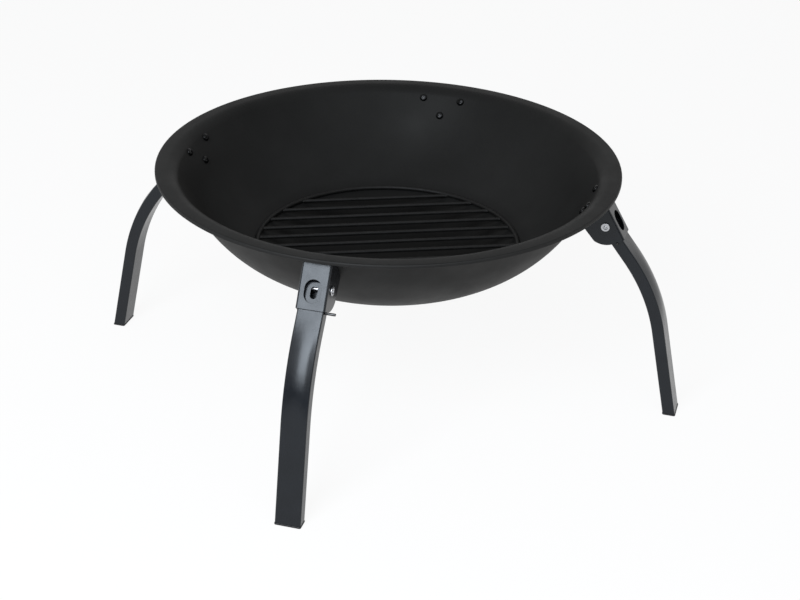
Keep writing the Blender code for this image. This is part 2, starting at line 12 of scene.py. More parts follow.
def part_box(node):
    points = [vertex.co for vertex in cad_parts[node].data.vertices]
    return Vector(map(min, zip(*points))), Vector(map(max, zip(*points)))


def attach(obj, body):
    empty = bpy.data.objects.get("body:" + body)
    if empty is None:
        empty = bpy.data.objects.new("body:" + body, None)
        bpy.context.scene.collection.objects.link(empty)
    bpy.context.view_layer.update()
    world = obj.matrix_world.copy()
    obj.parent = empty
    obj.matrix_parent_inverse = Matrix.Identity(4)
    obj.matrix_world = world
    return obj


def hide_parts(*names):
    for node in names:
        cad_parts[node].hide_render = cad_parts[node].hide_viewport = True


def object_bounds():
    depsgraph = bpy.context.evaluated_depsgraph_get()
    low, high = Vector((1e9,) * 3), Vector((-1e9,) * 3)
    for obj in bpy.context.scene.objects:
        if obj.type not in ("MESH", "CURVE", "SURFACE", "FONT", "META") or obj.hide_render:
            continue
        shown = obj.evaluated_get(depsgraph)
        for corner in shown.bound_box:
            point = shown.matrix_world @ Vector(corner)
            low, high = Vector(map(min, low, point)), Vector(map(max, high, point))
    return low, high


bl_info = {
    "name": "Folding fire bowl",
    "version": (1, 0, 0),
    "blender": (4, 5, 0),
    "location": "3D View > Sidebar > Fire bowl",
    "description": "Builds the pressed bowl, its grate, the folding legs and their hardware",
    "category": "Object",
}

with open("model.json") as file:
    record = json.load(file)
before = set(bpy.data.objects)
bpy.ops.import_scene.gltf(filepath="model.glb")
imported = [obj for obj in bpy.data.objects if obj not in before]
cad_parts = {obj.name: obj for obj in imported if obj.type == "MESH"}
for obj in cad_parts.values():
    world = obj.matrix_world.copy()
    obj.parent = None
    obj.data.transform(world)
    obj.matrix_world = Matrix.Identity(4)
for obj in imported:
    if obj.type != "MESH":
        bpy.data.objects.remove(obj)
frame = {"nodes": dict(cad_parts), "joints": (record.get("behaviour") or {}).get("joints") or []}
CAD_LOW, CAD_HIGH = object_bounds()

# Where the legs stand, in degrees from +X, and the (r, z) place of their rivets
STATIONS = {"front": -90.0, "right": 0.0, "back": 90.0, "left": 180.0}
FOLD = next(joint for joint in frame["joints"] if joint["name"] == "right_leg_fold")
PIVOT = Vector((FOLD["pos_m"][0], FOLD["pos_m"][2]))

# Running gap between pieces, points that count as one, and how far a cutter runs past
GAP = 0.0003
WELD = 0.00001
REACH = 0.0100

# Angles from which an edge is sharp, on the bowl and elsewhere
BOWL_SHARP = radians(60.0)
SHARP = radians(35.0)

# Angle from which an edge is eased, and how far it is on a bracket
EASED_FROM = radians(40.0)
SHEET_EASE = 0.00025

# Section of the bowl
HEM_DROP = 0.0044
HEM_BEND = 0.0020
LIP_SLOPE = radians(1.5)
LIP_BEND = 0.0140
LIP_WIDTH = 0.0224
WALL_LEAN = radians(29.5)
WALL_LENGTH = 0.0356
BELLY_RADIUS = 0.1721
BOWL_SHEET = 0.0015

# Heights over the bowl's lowest point between which the painted shade on its floor fades
FLOOR_SHADE_FADE = (0.010, 0.030)

# Grate: share of the ring's wire that a rod's end stands into, and the shape of its weld
ROD_SINK = 0.6
BEAD_SHAPE = (1.3, 1.25, 0.9)

# Bracket; the plate's slot is (width, length, distance down from the rivet)
BRACKET_SHEET = 0.0015
BRACKET_FOLD = 0.0025
PLATE_LEAN = radians(30.2)
PLATE_CLEARANCE = 0.00095
PLATE_UP = 0.0270
PLATE_DOWN = 0.0229
PLATE_SLOT = (0.0188, 0.0250, 0.0036)
CHEEK_ARC = 0.0225
CHEEK_CORNER = radians(238.0)
CHEEK_BOTTOM = 0.0318
EAR_WIDTH = 0.0157
FLANGE_TOP = 0.0005
EAR_BOTTOM = 0.0112
TONGUE_BOTTOM = 0.0365

# Leg; its oblong hole is (width, length, distance down from the rivet)
LEG_UPPER_LEAN = radians(38.0)
LEG_LOWER_LEAN = radians(11.8)
LEG_HEAD = 0.0088
LEG_HEAD_FRONT_ROUND = 0.0040
LEG_HEAD_BACK_ROUND = 0.0065
LEG_UPPER_LENGTH = 0.0484
LEG_BEND = 0.2150
LEG_HOLE = (0.0078, 0.0132, 0.0058)
LEG_RELEASE = 0.0035

# Crown of the leg's outer face: height, lean to one side, and where it starts, is full, fades and ends
LEG_CROWN = 0.0018
LEG_CROWN_SKEW = 0.30
LEG_CROWN_RUN = (0.025, 0.075, 0.100, 0.150)

# Foot plug, and its flange's rounded edge as (inset, height) pairs
FOOT_FLANGE = 0.0020
FOOT_PROUD = 0.0005
FOOT_PLUG = 0.0120
FOOT_STEM_CORNER = 0.0008
FOOT_EDGE = ((0.0006, 0.0), (0.0002, 0.0002), (0.0, 0.0006), (0.0, 0.0016), (0.0002, FOOT_FLANGE))

# Screws, rivets and pins
UPPER_SCREW_OUT = 0.0084
UPPER_SCREW_DROP = 0.0052
LOWER_SCREW_DROP = 0.0264
SCREW_SPIN = 1.3
SCREW_TAIL = 0.0008

# Powers that shape a screw's dome, and its recess as shares of its length and of the head's height
DOME_SIDE, DOME_RISE = 0.62, 0.8
RECESS_WIDTH, RECESS_DEPTH = 0.24, 1.1

# Cone that chamfers a nut, as shares of its width, and the nut's play; the eased ends of rivets and pins
CONE_WIDE, CONE_NARROW = 0.95, 0.48
NUT_CLEARANCE = 0.0001
RIVET_EASE = 0.0003
PIN_EASE = 0.0005

# Hollow in a rivet's head: share of the shank's radius, and depth in thirds of the head's height
RIVET_HOLLOW = ((0.75, 2.0), (0.6, 1.0), (0.3, 0.5), (0.0, 1 / 3))

# Softboxes and camera
KEY_AT, KEY_SIZE = (0.78, -1.70, 1.93), (2.4, 1.4)
STRIP_AT, STRIP_SIZE = (-0.33, -1.83, 1.43), (1.0, 1.45)
LIGHTS_AIM = Vector((0, 0, 0.15))
CAMERA_AT = (0.4921, -1.6887, 1.0245)
CAMERA_TURN = (61.983, -1.0421, 16.2712)

# Floor, and the curtain's colour, radius, lower edge, first side and sweep
FLOOR_RADIUS = 14.0
FLOOR_DROP = 0.0002
FLOOR_WHITE = 0.92
CURTAIN_COLOUR = (0.03, 0.03, 0.03)
CURTAIN_RADIUS = 3.4
CURTAIN_LOW = 0.12
CURTAIN_FROM = -150.0
CURTAIN_SWEEP = 130.0


def plane(r, z):
    """Point in the plane of a leg: distance from the bowl's axis, and height."""
    return Vector((r, z))


def leaning(angle):
    """Unit vector down and outward, leaning by an angle from the vertical."""
    return plane(sin(angle), -cos(angle))


def facing(angle):
    """Unit normal of such a line, outward and up."""
    return plane(cos(angle), sin(angle))


RIM_TOP = CAD_HIGH.z
RIM_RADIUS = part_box("bowl")[1].x
LIP_CORNER = plane(RIM_RADIUS - LIP_WIDTH, RIM_TOP - LIP_WIDTH * tan(LIP_SLOPE))
WALL_DOWN = plane(-sin(WALL_LEAN), -cos(WALL_LEAN))
WALL_OUT = plane(cos(WALL_LEAN), -sin(WALL_LEAN))
LIP_TURN = pi / 2 - WALL_LEAN - LIP_SLOPE
TOP_TANGENT = LIP_CORNER + WALL_DOWN * (LIP_BEND * tan(LIP_TURN / 2))
WALL_TOP = TOP_TANGENT + WALL_OUT * BOWL_SHEET
BELLY_CENTRE = WALL_TOP + WALL_DOWN * WALL_LENGTH - WALL_OUT * BELLY_RADIUS
BOWL_LOW = BELLY_CENTRE[1] - BELLY_RADIUS


# Properties

class BowlLook(bpy.types.PropertyGroup):
    """Sizes and finish of the pressed bowl."""

    facets: IntProperty(name="Facets", description="Steps round the bowl", default=192, min=32)
    lip_bend: FloatProperty(
        name="Lip bend", description="Inside radius between the wall and the lip",
        default=0.0180, unit="LENGTH")
    colour: FloatVectorProperty(
        name="Paint", description="Matte heat-proof paint", subtype="COLOR", size=3,
        default=(0.0126, 0.0124, 0.0119), min=0.0, max=1.0)
    roughness: FloatProperty(name="Roughness", description="Roughness of the paint", default=0.42)
    # Painted shade: share of the paint's colour left on the bowl's floor under the grate
    painted_shade: FloatProperty(
        name="Floor soot", description="Share of the paint's colour left on the floor of the bowl",
        default=0.45, min=0.0, max=1.0)
    outer_colour: FloatVectorProperty(
        name="Outer paint", description="Smoother paint of the hem and the underside",
        subtype="COLOR", size=3, default=(0.0098, 0.0096, 0.0094), min=0.0, max=1.0)
    outer_roughness: FloatProperty(
        name="Outer roughness", description="Roughness of the outer paint", default=0.58)
    grain: FloatProperty(
        name="Grain", description="Depth of the paint's fine grain", default=0.00006, unit="LENGTH")


class GrateLook(bpy.types.PropertyGroup):
    """Sizes and finish of the wire grate."""

    count: IntProperty(name="Rods", description="Number of parallel rods", default=11, min=3)
    pitch: FloatProperty(
        name="Pitch", description="Distance from rod to rod", default=0.0248, unit="LENGTH")
    ring_radius: FloatProperty(
        name="Ring radius", description="Radius of the ring's centre line", default=0.1550, unit="LENGTH")
    ring_wire: FloatProperty(
        name="Ring wire", description="Radius of the ring's wire", default=0.0026, unit="LENGTH")
    rod_wire: FloatProperty(
        name="Rod wire", description="Radius of a rod's wire", default=0.0022, unit="LENGTH")
    drop: FloatProperty(
        name="Drop", description="How far the rods lie under the ring's centre",
        default=0.0010, unit="LENGTH")
    turn: FloatProperty(
        name="Turn", description="Turn of the rods in the bowl", default=radians(23.8), subtype="ANGLE")
    colour: FloatVectorProperty(
        name="Coating", description="Dull black coating", subtype="COLOR", size=3,
        default=(0.0045, 0.0044, 0.0042), min=0.0, max=1.0)


class LegLook(bpy.types.PropertyGroup):
    """Sizes and finish of the legs and brackets."""

    width: FloatProperty(name="Width", description="Tube width", default=0.0290, unit="LENGTH")
    depth: FloatProperty(name="Depth", description="Tube depth", default=0.0142, unit="LENGTH")
    wall: FloatProperty(name="Wall", description="Tube wall", default=0.0015, unit="LENGTH")
    corner: FloatProperty(
        name="Corner", description="Outer corner radius of the tube", default=0.0016, unit="LENGTH")
    colour: FloatVectorProperty(
        name="Coating", description="Satin black coating", subtype="COLOR", size=3,
        default=(0.0058, 0.0068, 0.0086), min=0.0, max=1.0)
    roughness: FloatProperty(name="Roughness", description="Roughness of the coating", default=0.24)
    foot_colour: FloatVectorProperty(
        name="Foot plug", description="Black plastic", subtype="COLOR", size=3,
        default=(0.0060, 0.0061, 0.0066), min=0.0, max=1.0)


class HardwareLook(bpy.types.PropertyGroup):
    """Sizes and finish of the rivets, pins, screws and nuts."""

    head_radius: FloatProperty(
        name="Screw head", description="Radius of a screw's head", default=0.0048, unit="LENGTH")
    head_height: FloatProperty(
        name="Head height", description="Height of a screw's head", default=0.0026, unit="LENGTH")
    shank: FloatProperty(
        name="Shank", description="Radius of a screw's shank", default=0.0020, unit="LENGTH")
    recess: FloatProperty(
        name="Recess", description="Length of the cross recess in a head", default=0.0046, unit="LENGTH")
    nut_flats: FloatProperty(
        name="Nut", description="Nut size across its flats", default=0.0070, unit="LENGTH")
    nut_height: FloatProperty(
        name="Nut height", description="Thickness of a nut", default=0.0032, unit="LENGTH")
    rivet_shank: FloatProperty(
        name="Rivet shank", description="Radius of a rivet's shank", default=0.0025, unit="LENGTH")
    rivet_head: FloatProperty(
        name="Rivet head", description="Radius of a rivet's head", default=0.0050, unit="LENGTH")
    rivet_height: FloatProperty(
        name="Rivet head height", description="Height of a rivet's head", default=0.0014, unit="LENGTH")
    pin: FloatProperty(
        name="Pin", description="Radius of a stop pin", default=0.0015, unit="LENGTH")
    pin_stand: FloatProperty(
        name="Pin end", description="How far a pin stands out", default=0.0095, unit="LENGTH")
    zinc: FloatVectorProperty(
        name="Zinc", description="Bright zinc plating", subtype="COLOR", size=3,
        default=(0.50, 0.51, 0.53), min=0.0, max=1.0)
    black: FloatVectorProperty(
        name="Black screws", description="Blackened steel", subtype="COLOR", size=3,
        default=(0.0020, 0.0020, 0.0022), min=0.0, max=1.0)


class StageLook(bpy.types.PropertyGroup):
    """Floor, light and camera."""

    key: FloatProperty(
        name="Key light", description="Power of the large softbox", default=25.0, unit="POWER")
    strip: FloatProperty(
        name="Strip light", description="Power of the strip softbox", default=51.0, unit="POWER")
    curtain: FloatProperty(
        name="Curtain", description="Height of the dark curtain behind the camera",
        default=0.95, unit="LENGTH")
    key_colour: FloatVectorProperty(
        name="Light colour", description="Cool white of the softboxes", subtype="COLOR", size=3,
        default=(0.86, 0.92, 1.0), min=0.0, max=1.0)
    room: FloatProperty(name="Room", description="Strength of the even light of the room", default=0.25)
    lens: FloatProperty(name="Lens", description="Focal length on a 36 mm frame", default=73.7607)


# Meshes

def mesh_from(bm, name):
    """Weld a bmesh, turn its faces outward and make it a mesh."""
    bmesh.ops.remove_doubles(bm, verts=bm.verts, dist=WELD)
    bmesh.ops.recalc_face_normals(bm, faces=bm.faces)
    mesh = bpy.data.meshes.new(name)
    bm.to_mesh(mesh)
    bm.free()
    return mesh


def arc(centre, radius, start, end, steps):
    """Points along an arc, both ends included."""
    turns = [start + (end - start) * i / steps for i in range(steps + 1)]
    return [plane(centre[0] + radius * cos(a), centre[1] + radius * sin(a)) for a in turns]


def extruded(outline, width, name):
    """Prism of a closed (x, z) outline, centred on y = 0."""
    bm = bmesh.new()
    face = bm.faces.new([bm.verts.new((x, -width / 2, z)) for x, z in outline])
    swept = bmesh.ops.extrude_face_region(bm, geom=[face])
    far = [part for part in swept["geom"] if isinstance(part, bmesh.types.BMVert)]
    bmesh.ops.translate(bm, verts=far, vec=(0, width, 0))
    return mesh_from(bm, name)


def lofted(rings, name):
    """Closed solid through rings of points, capped at both ends."""
    bm = bmesh.new()
    rows = [[bm.verts.new(p) for p in ring] for ring in rings]
    count = len(rows[0])
    for upper, lower in zip(rows, rows[1:]):
        for i in range(count):
            j = (i + 1) % count
            bm.faces.new((upper[i], upper[j], lower[j], lower[i]))
    bm.faces.new(rows[0])
    bm.faces.new(rows[-1])
    return mesh_from(bm, name)


def rod(radius, length, centre=(0, 0, 0)):
    """Plain round cutter along Y."""
    mesh = extruded(arc((0, 0), radius, 0, 2 * pi, 32)[:-1], length, "rod")
    mesh.transform(Matrix.Translation(centre))
    return mesh


def stadium(width, length, depth):
    """Cutter with round ends: length along Z, width along Y and depth along X."""
    run = (length - width) / 2
    outline = arc((0, run), width / 2, 0, pi, 20) + arc((0, -run), width / 2, pi, 2 * pi, 20)
    mesh = extruded(outline, depth, "stadium")
    mesh.transform(Matrix.Rotation(pi / 2, 4, "Z"))
    return mesh


def placed(mesh, at, lean=0.0):
    """Move a mesh to an (r, z) point, and lean its Z axis so that -Z follows leaning(lean)."""
    mesh.transform(Matrix.Translation((at[0], 0, at[1])) @ Matrix.Rotation(-lean, 4, "Y"))
    return mesh


def evaluated(mesh, add_modifiers):
    """Mesh after the modifiers that a function adds to a helper object."""
    helper = bpy.data.objects.new("helper", mesh)
    bpy.context.scene.collection.objects.link(helper)
    add_modifiers(helper)
    graph = bpy.context.evaluated_depsgraph_get()
    made = bpy.data.meshes.new_from_object(helper.evaluated_get(graph))
    bpy.data.objects.remove(helper)
    return made


def combine(mesh, steps):
    """Cut, join or keep a mesh with a list of (operation, mesh) steps."""
    tools = []

    def add_cuts(body):
        for operation, other in steps:
            tool = bpy.data.objects.new("tool", other)
            bpy.context.scene.collection.objects.link(tool)
            modifier = body.modifiers.new(operation, "BOOLEAN")
            modifier.operation = operation
            modifier.solver = "EXACT"
            modifier.object = tool
            tools.append(tool)

    made = evaluated(mesh, add_cuts)
    for tool in tools:
        bpy.data.objects.remove(tool)
    return made


def eased(mesh, width):
    """Round the sharp edges, and let the flat faces keep their own shading."""

    def add_bevel(helper):
        if width > 0:
            bevel = helper.modifiers.new("Ease", "BEVEL")
            bevel.width = width
            bevel.segments = 2
            bevel.limit_method = "ANGLE"
            bevel.angle_limit = EASED_FROM
            bevel.use_clamp_overlap = True
        helper.modifiers.new("Flats", "WEIGHTED_NORMAL").keep_sharp = True

    mesh.shade_smooth()
    mesh.set_sharp_from_angle(angle=pi if width > 0 else SHARP)
    return evaluated(mesh, add_bevel)


def piece(name, mesh, material, body, nodes):
    """Finished piece at the origin, riding on its body and standing for its CAD nodes."""
    mesh.materials.clear()
    mesh.materials.append(material)
    item = bpy.data.objects.new(name, mesh)
    bpy.context.scene.collection.objects.link(item)
    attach(item, body)
    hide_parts(*nodes)
    return item


def at_station(mesh, side):
    """Copy of a mesh made for the right-hand station, turned to another."""
    twin = mesh.copy()
    twin.transform(Matrix.Rotation(radians(STATIONS[side]), 4, "Z"))
    return twin


# Node trees

class Term:
    """Output in a node tree; plain arithmetic on it adds Math nodes."""

    def __init__(self, tree, socket):
        self.tree, self.socket = tree, socket

    def to(self, socket):
        """Link to an input."""
        self.tree.links.new(self.socket, socket)

    def math(self, operation, *others):
        """Result of a Math node."""
        return result(self.tree, "ShaderNodeMath", enumerate((self, *others)), operation=operation)

    def __add__(self, other):
        return self.math("ADD", other)

    def __sub__(self, other):
        return self.math("SUBTRACT", other)

    def __mul__(self, other):
        return self.math("MULTIPLY", other)

    def __truediv__(self, other):
        return self.math("DIVIDE", other)


def result(tree, kind, links=(), output=0, **values):
    """Output of a new node with its settings, and (input, term or value) pairs for its inputs."""
    node = tree.nodes.new(kind)
    for key, value in values.items():
        setattr(node, key, value)
    for key, source in links:
        if isinstance(source, Term):
            source.to(node.inputs[key])
        else:
            node.inputs[key].default_value = source
    return Term(tree, node.outputs[output])


def vector(tree, **parts):
    """Vector of X, Y and Z."""
    return result(tree, "ShaderNodeCombineXYZ", parts.items())


def shifted(geometry, **how):
    """Geometry with its points moved to a Position or by an Offset."""
    return result(geometry.tree, "GeometryNodeSetPosition", [("Geometry", geometry), *how.items()])


def laid(geometry, **how):
    """Geometry after a Translation or a Rotation."""
    return result(geometry.tree, "GeometryNodeTransform", [("Geometry", geometry), *how.items()])


def lifted(geometry, height):
    """Geometry moved up by a height."""
    return laid(geometry, Translation=vector(geometry.tree, Z=height))


def welded(geometry):
    """Geometry with its doubled points merged."""
    return result(
        geometry.tree, "GeometryNodeMergeByDistance", [("Geometry", geometry), ("Distance", WELD)])


def instances(points, shape, **how):
    """Shape on every point, with a Rotation or a Scale."""
    return result(
        points.tree, "GeometryNodeInstanceOnPoints", [("Points", points), ("Instance", shape), *how.items()])


def together(*parts):
    """Geometries joined into one."""
    joined = result(parts[0].tree, "GeometryNodeJoinGeometry")
    for part in parts:
        part.to(joined.socket.node.inputs[0])
    return joined


def cut_from(shape, cutters, operation="DIFFERENCE"):
    """Exact boolean of a shape with others."""
    cut = result(shape.tree, "GeometryNodeMeshBoolean", operation=operation, solver="EXACT")
    inputs = cut.socket.node.inputs
    if operation == "DIFFERENCE":
        shape.to(inputs[0])
    else:
        cutters = [shape, *cutters]
    for cutter in cutters:
        cutter.to(inputs[1])
    return cut


def cylinder(tree, sides, radius, depth):
    """Upright cylinder about the middle."""
    return result(
        tree, "GeometryNodeMeshCylinder", [("Vertices", sides), ("Radius", radius), ("Depth", depth)])


def row_and_column(tree, columns):
    """Row and column of a grid's point, from its index."""
    index = result(tree, "GeometryNodeInputIndex")
    row = ((index + 0.5) / columns).math("FLOOR")
    return row, index - row * columns


def new_tree(name, sizes, counts=()):
    """Geometry tree with a geometry socket at each end and named inputs, and those inputs by name."""
    tree = bpy.data.node_groups.new(name, "GeometryNodeTree")
    kinds = {"Geometry": "Geometry", **dict.fromkeys(counts, "Int"), **dict.fromkeys(sizes, "Float")}
    for label, kind in {**kinds, "Material": "Material"}.items():
        tree.interface.new_socket(label, in_out="INPUT", socket_type="NodeSocket" + kind)
    tree.interface.new_socket("Geometry", in_out="OUTPUT", socket_type="NodeSocketGeometry")
    start = tree.nodes.new("NodeGroupInput")
    return tree, {socket.name: Term(tree, socket) for socket in start.outputs}


def close_tree(geometry, material):
    """End a tree in Realize Instances and Set Material."""
    tree = geometry.tree
    real = result(tree, "GeometryNodeRealizeInstances", [("Geometry", geometry)])
    painted = result(tree, "GeometryNodeSetMaterial", [("Geometry", real), ("Material", material)])
    painted.to(tree.nodes.new("NodeGroupOutput").inputs[0])


def grown(mesh, tree, values):
    """Mesh that a tree makes of a base mesh, with the tree's named inputs set."""
    keys = {
        item.name: item.identifier for item in tree.interface.items_tree
        if item.item_type == "SOCKET" and item.in_out == "INPUT"
    }

    def add_tree(helper):
        modifier = helper.modifiers.new("Grow", "NODES")
        modifier.node_group = tree
        for label, value in values.items():
            modifier[keys[label]] = value

    return evaluated(mesh, add_tree)


def turned_tree():
    """Tree that turns a line of (r, 0, z) points about Z."""
    tree, inputs = new_tree("Turned solid", [], ["Facets"])
    line, facets = inputs["Geometry"], inputs["Facets"]
    points = result(tree, "GeometryNodeAttributeDomainSize", [("Geometry", line)], "Point Count")
    rows = facets + 1.0
    grid = result(tree, "GeometryNodeMeshGrid", [("Vertices X", points), ("Vertices Y", rows)])
    along, around = row_and_column(tree, rows)
    place = result(tree, "GeometryNodeInputPosition")
    point = result(
        tree, "GeometryNodeSampleIndex", [("Geometry", line), ("Value", place), ("Index", along)],
        data_type="FLOAT_VECTOR", domain="POINT")
    spun = result(
        tree, "ShaderNodeVectorRotate", [("Vector", point), ("Angle", around / facets * (2 * pi))],
        rotation_type="Z_AXIS")
    close_tree(welded(shifted(grid, Position=spun)), inputs["Material"])
    return tree


def turned(profile, facets, material, closed=False):
    """Mesh turned about Z from (r, z) points; a closed one is a ring that misses the axis."""
    line = bpy.data.meshes.new("profile")
    points = list(profile) + ([profile[0]] if closed else [])
    line.from_pydata([(r, 0, z) for r, z in points], [], [])
    tree = bpy.data.node_groups.get("Turned solid") or turned_tree()
    mesh = grown(line, tree, {"Facets": facets, "Material": material})
    bm = bmesh.new()
    bm.from_mesh(mesh)
    bmesh.ops.dissolve_degenerate(bm, dist=WELD / 10, edges=bm.edges)
    bmesh.ops.recalc_face_normals(bm, faces=bm.faces)
    bm.to_mesh(mesh)
    bm.free()
    return mesh


# Finishes

def shader(name, colour, roughness, specular=0.5, metallic=0.0, tint=(1, 1, 1)):
    """Material with its plain values, and its tree."""
    material = bpy.data.materials.new(name)
    material.use_nodes = True
    inputs = material.node_tree.nodes["Principled BSDF"].inputs
    inputs["Base Color"].default_value = (*colour, 1)
    inputs["Roughness"].default_value = roughness
    inputs["Metallic"].default_value = metallic
    inputs["Specular IOR Level"].default_value = specular
    inputs["Specular Tint"].default_value = (*tint, 1)
    return material, material.node_tree


def covered(material, colour, rough, layers):
    """Give a material its colour and roughness patterns, and bump layers of (height, strength, distance)."""
    inputs = material.node_tree.nodes["Principled BSDF"].inputs
    colour.to(inputs["Base Color"])
    rough.to(inputs["Roughness"])
    normal = None
    for height, strength, distance in layers:
        links = [("Height", height), ("Strength", strength), ("Distance", distance)]
        if normal is not None:
            links.append(("Normal", normal))
        normal = result(material.node_tree, "ShaderNodeBump", links)
    normal.to(inputs["Normal"])
    return material


def noise(tree, scale, detail=3.0, rough=0.5, stretch=None):
    """Noise value on object coordinates; its scale is in features per metre."""
    where = result(tree, "ShaderNodeTexCoord", output="Object")
    if stretch:
        where = result(tree, "ShaderNodeMapping", [("Vector", where), ("Scale", stretch)])
    return result(
        tree, "ShaderNodeTexNoise",
        [("Vector", where), ("Scale", scale), ("Detail", detail), ("Roughness", rough)])


def ramp(value, low, high, out_low=0.0, out_high=1.0):
    """Value from one range to another, clamped."""
    return result(
        value.tree, "ShaderNodeMapRange",
        [("Value", value), ("From Min", low), ("From Max", high), ("To Min", out_low), ("To Max", out_high)])


def toned(factor, colour, dark, light):
    """A colour between a darker and a lighter share of itself, by a value."""
    node = factor.tree.nodes.new("ShaderNodeMix")
    node.data_type = "RGBA"
    factor.to(node.inputs["Factor"])
    for socket in node.inputs:
        if socket.type == "RGBA":
            share = dark if socket.name == "A" else light
            socket.default_value = (*(min(1.0, c * share) for c in colour), 1)
    return Term(factor.tree, next(out for out in node.outputs if out.type == "RGBA"))


def stove_paint(name, paint, roughness, specular, floor_shade_share=1.0):
    """Heat-proof paint: a dry grain, soft cloudiness, the slow waves of pressed sheet, and painted shade
    darkening the floor under the grate.
    """
    material, tree = shader(name, paint, roughness, specular, tint=(1.0, 1.0, 0.96))
    mottle = noise(tree, 7.0, 4.0, 0.55) * 0.65 + noise(tree, 900.0, 2.0, 0.6) * 0.35
    colour = toned(ramp(mottle, 0.35, 0.65), paint, 0.8, 1.25)
    # Painted shade: the paint darkens towards the bowl's floor, standing in for shade under the grate
    if floor_shade_share < 1.0:
        where = result(tree, "ShaderNodeTexCoord", output="Object")
        height = result(tree, "ShaderNodeSeparateXYZ", [("Vector", where)], "Z")
        share = ramp(height, BOWL_LOW + FLOOR_SHADE_FADE[0], BOWL_LOW + FLOOR_SHADE_FADE[1], floor_shade_share)
        colour = result(
            tree, "ShaderNodeVectorMath", [("Vector", colour), ("Scale", share)], operation="SCALE")
    rough = ramp(noise(tree, 22.0, 5.0, 0.6), 0.3, 0.7, roughness - 0.05, roughness + 0.07)
    press, grain = noise(tree, 9.0, 2.0, 0.4), noise(tree, 1400.0, 2.0, 0.6)
    depth = bpy.context.scene.bowl_look.grain
    return covered(material, colour, rough, [(press, 0.35, 0.0012), (grain, 0.5, depth)])


def bowl_paint(name):
    """Matte paint of the inside and the lip, with painted shade darkening the floor under the grate."""
    look = bpy.context.scene.bowl_look
    return stove_paint(name, look.colour, look.roughness, specular=0.031, floor_shade_share=look.painted_shade)


def outer_paint(name):
    """Smoother paint of the hem and the underside."""
    look = bpy.context.scene.bowl_look
    return stove_paint(name, look.outer_colour, look.outer_roughness, specular=0.165)


def coat_paint(name):
    """Satin powder coat: orange peel, and a slightly uneven sheen."""
    look = bpy.context.scene.leg_look
    material, tree = shader(name, look.colour, look.roughness, specular=0.33, tint=(0.93, 0.97, 1.0))
    colour = toned(ramp(noise(tree, 35.0, 4.0, 0.6), 0.3, 0.7), look.colour, 0.85, 1.2)
    rough = ramp(noise(tree, 90.0, 4.0, 0.6), 0.3, 0.7, look.roughness - 0.03, look.roughness + 0.04)
    wave, peel = noise(tree, 60.0, 2.0, 0.5), noise(tree, 420.0, 2.0, 0.5)
    return covered(material, colour, rough, [(wave, 0.25, 0.0003), (peel, 0.35, 0.00008)])


def grate_paint(name):
    """Dull black coating on wire, with a dry and faintly worn skin."""
    look = bpy.context.scene.grate_look
    material, tree = shader(name, look.colour, roughness=0.5, specular=0.12)
    colour = toned(ramp(noise(tree, 140.0, 5.0, 0.65), 0.45, 0.75), look.colour, 1.0, 1.8)
    rough = ramp(noise(tree, 260.0, 3.0, 0.6), 0.3, 0.7, 0.42, 0.62)
    return covered(material, colour, rough, [(noise(tree, 700.0, 3.0, 0.6), 0.4, 0.0001)])


def zinc_plate(name):
    """Bright zinc plating with a fine brushed grain."""
    look = bpy.context.scene.hardware_look
    material, tree = shader(name, look.zinc, roughness=0.34, metallic=1.0)
    streak = noise(tree, 500.0, 4.0, 0.6, (1, 1, 4))
    colour = toned(ramp(streak, 0.3, 0.7), look.zinc, 0.82, 1.08)
    rough = ramp(streak, 0.3, 0.7, 0.28, 0.42)
    return covered(material, colour, rough, [(noise(tree, 1800.0, 2.0, 0.5), 0.25, 0.00004)])


def black_steel(name, specular):
    """Blackened steel with a thin oil film."""
    look = bpy.context.scene.hardware_look
    material, tree = shader(name, look.black, roughness=0.2, specular=specular)
    patch = ramp(noise(tree, 600.0, 4.0, 0.6), 0.35, 0.7)
    colour = toned(patch, look.black, 0.7, 1.6)
    rough = ramp(patch, 0.0, 1.0, 0.11, 0.20)
    return covered(material, colour, rough, [(noise(tree, 1500.0, 2.0, 0.5), 0.2, 0.00004)])


def screw_steel(name):
    """Dull black screws and nuts."""
    return black_steel(name, specular=0.10)


def pin_steel(name):
    """Polished black stop pins."""
    return black_steel(name, specular=0.50)


def foot_plastic(name):
    """Moulded black plastic with a fine spark-eroded texture."""
    look = bpy.context.scene.leg_look
    material, tree = shader(name, look.foot_colour, roughness=0.5, specular=0.4)
    scuff = ramp(noise(tree, 180.0, 5.0, 0.7), 0.5, 0.8)
    colour = toned(scuff, look.foot_colour, 1.0, 1.7)
    rough = ramp(scuff, 0.0, 1.0, 0.46, 0.62)
    return covered(material, colour, rough, [(noise(tree, 2200.0, 2.0, 0.6), 0.5, 0.00005)])


FINISHES = {
    "bowl_paint_look": bowl_paint, "outer_paint_look": outer_paint, "leg_coat_look": coat_paint,
    "grate_coat_look": grate_paint, "zinc_look": zinc_plate, "black_steel_look": screw_steel,
    "pin_steel_look": pin_steel, "foot_plastic_look": foot_plastic,
}


def finish(name):
    """Material by its name, made once."""
    return bpy.data.materials.get(name) or FINISHES[name](name)


# Bowl

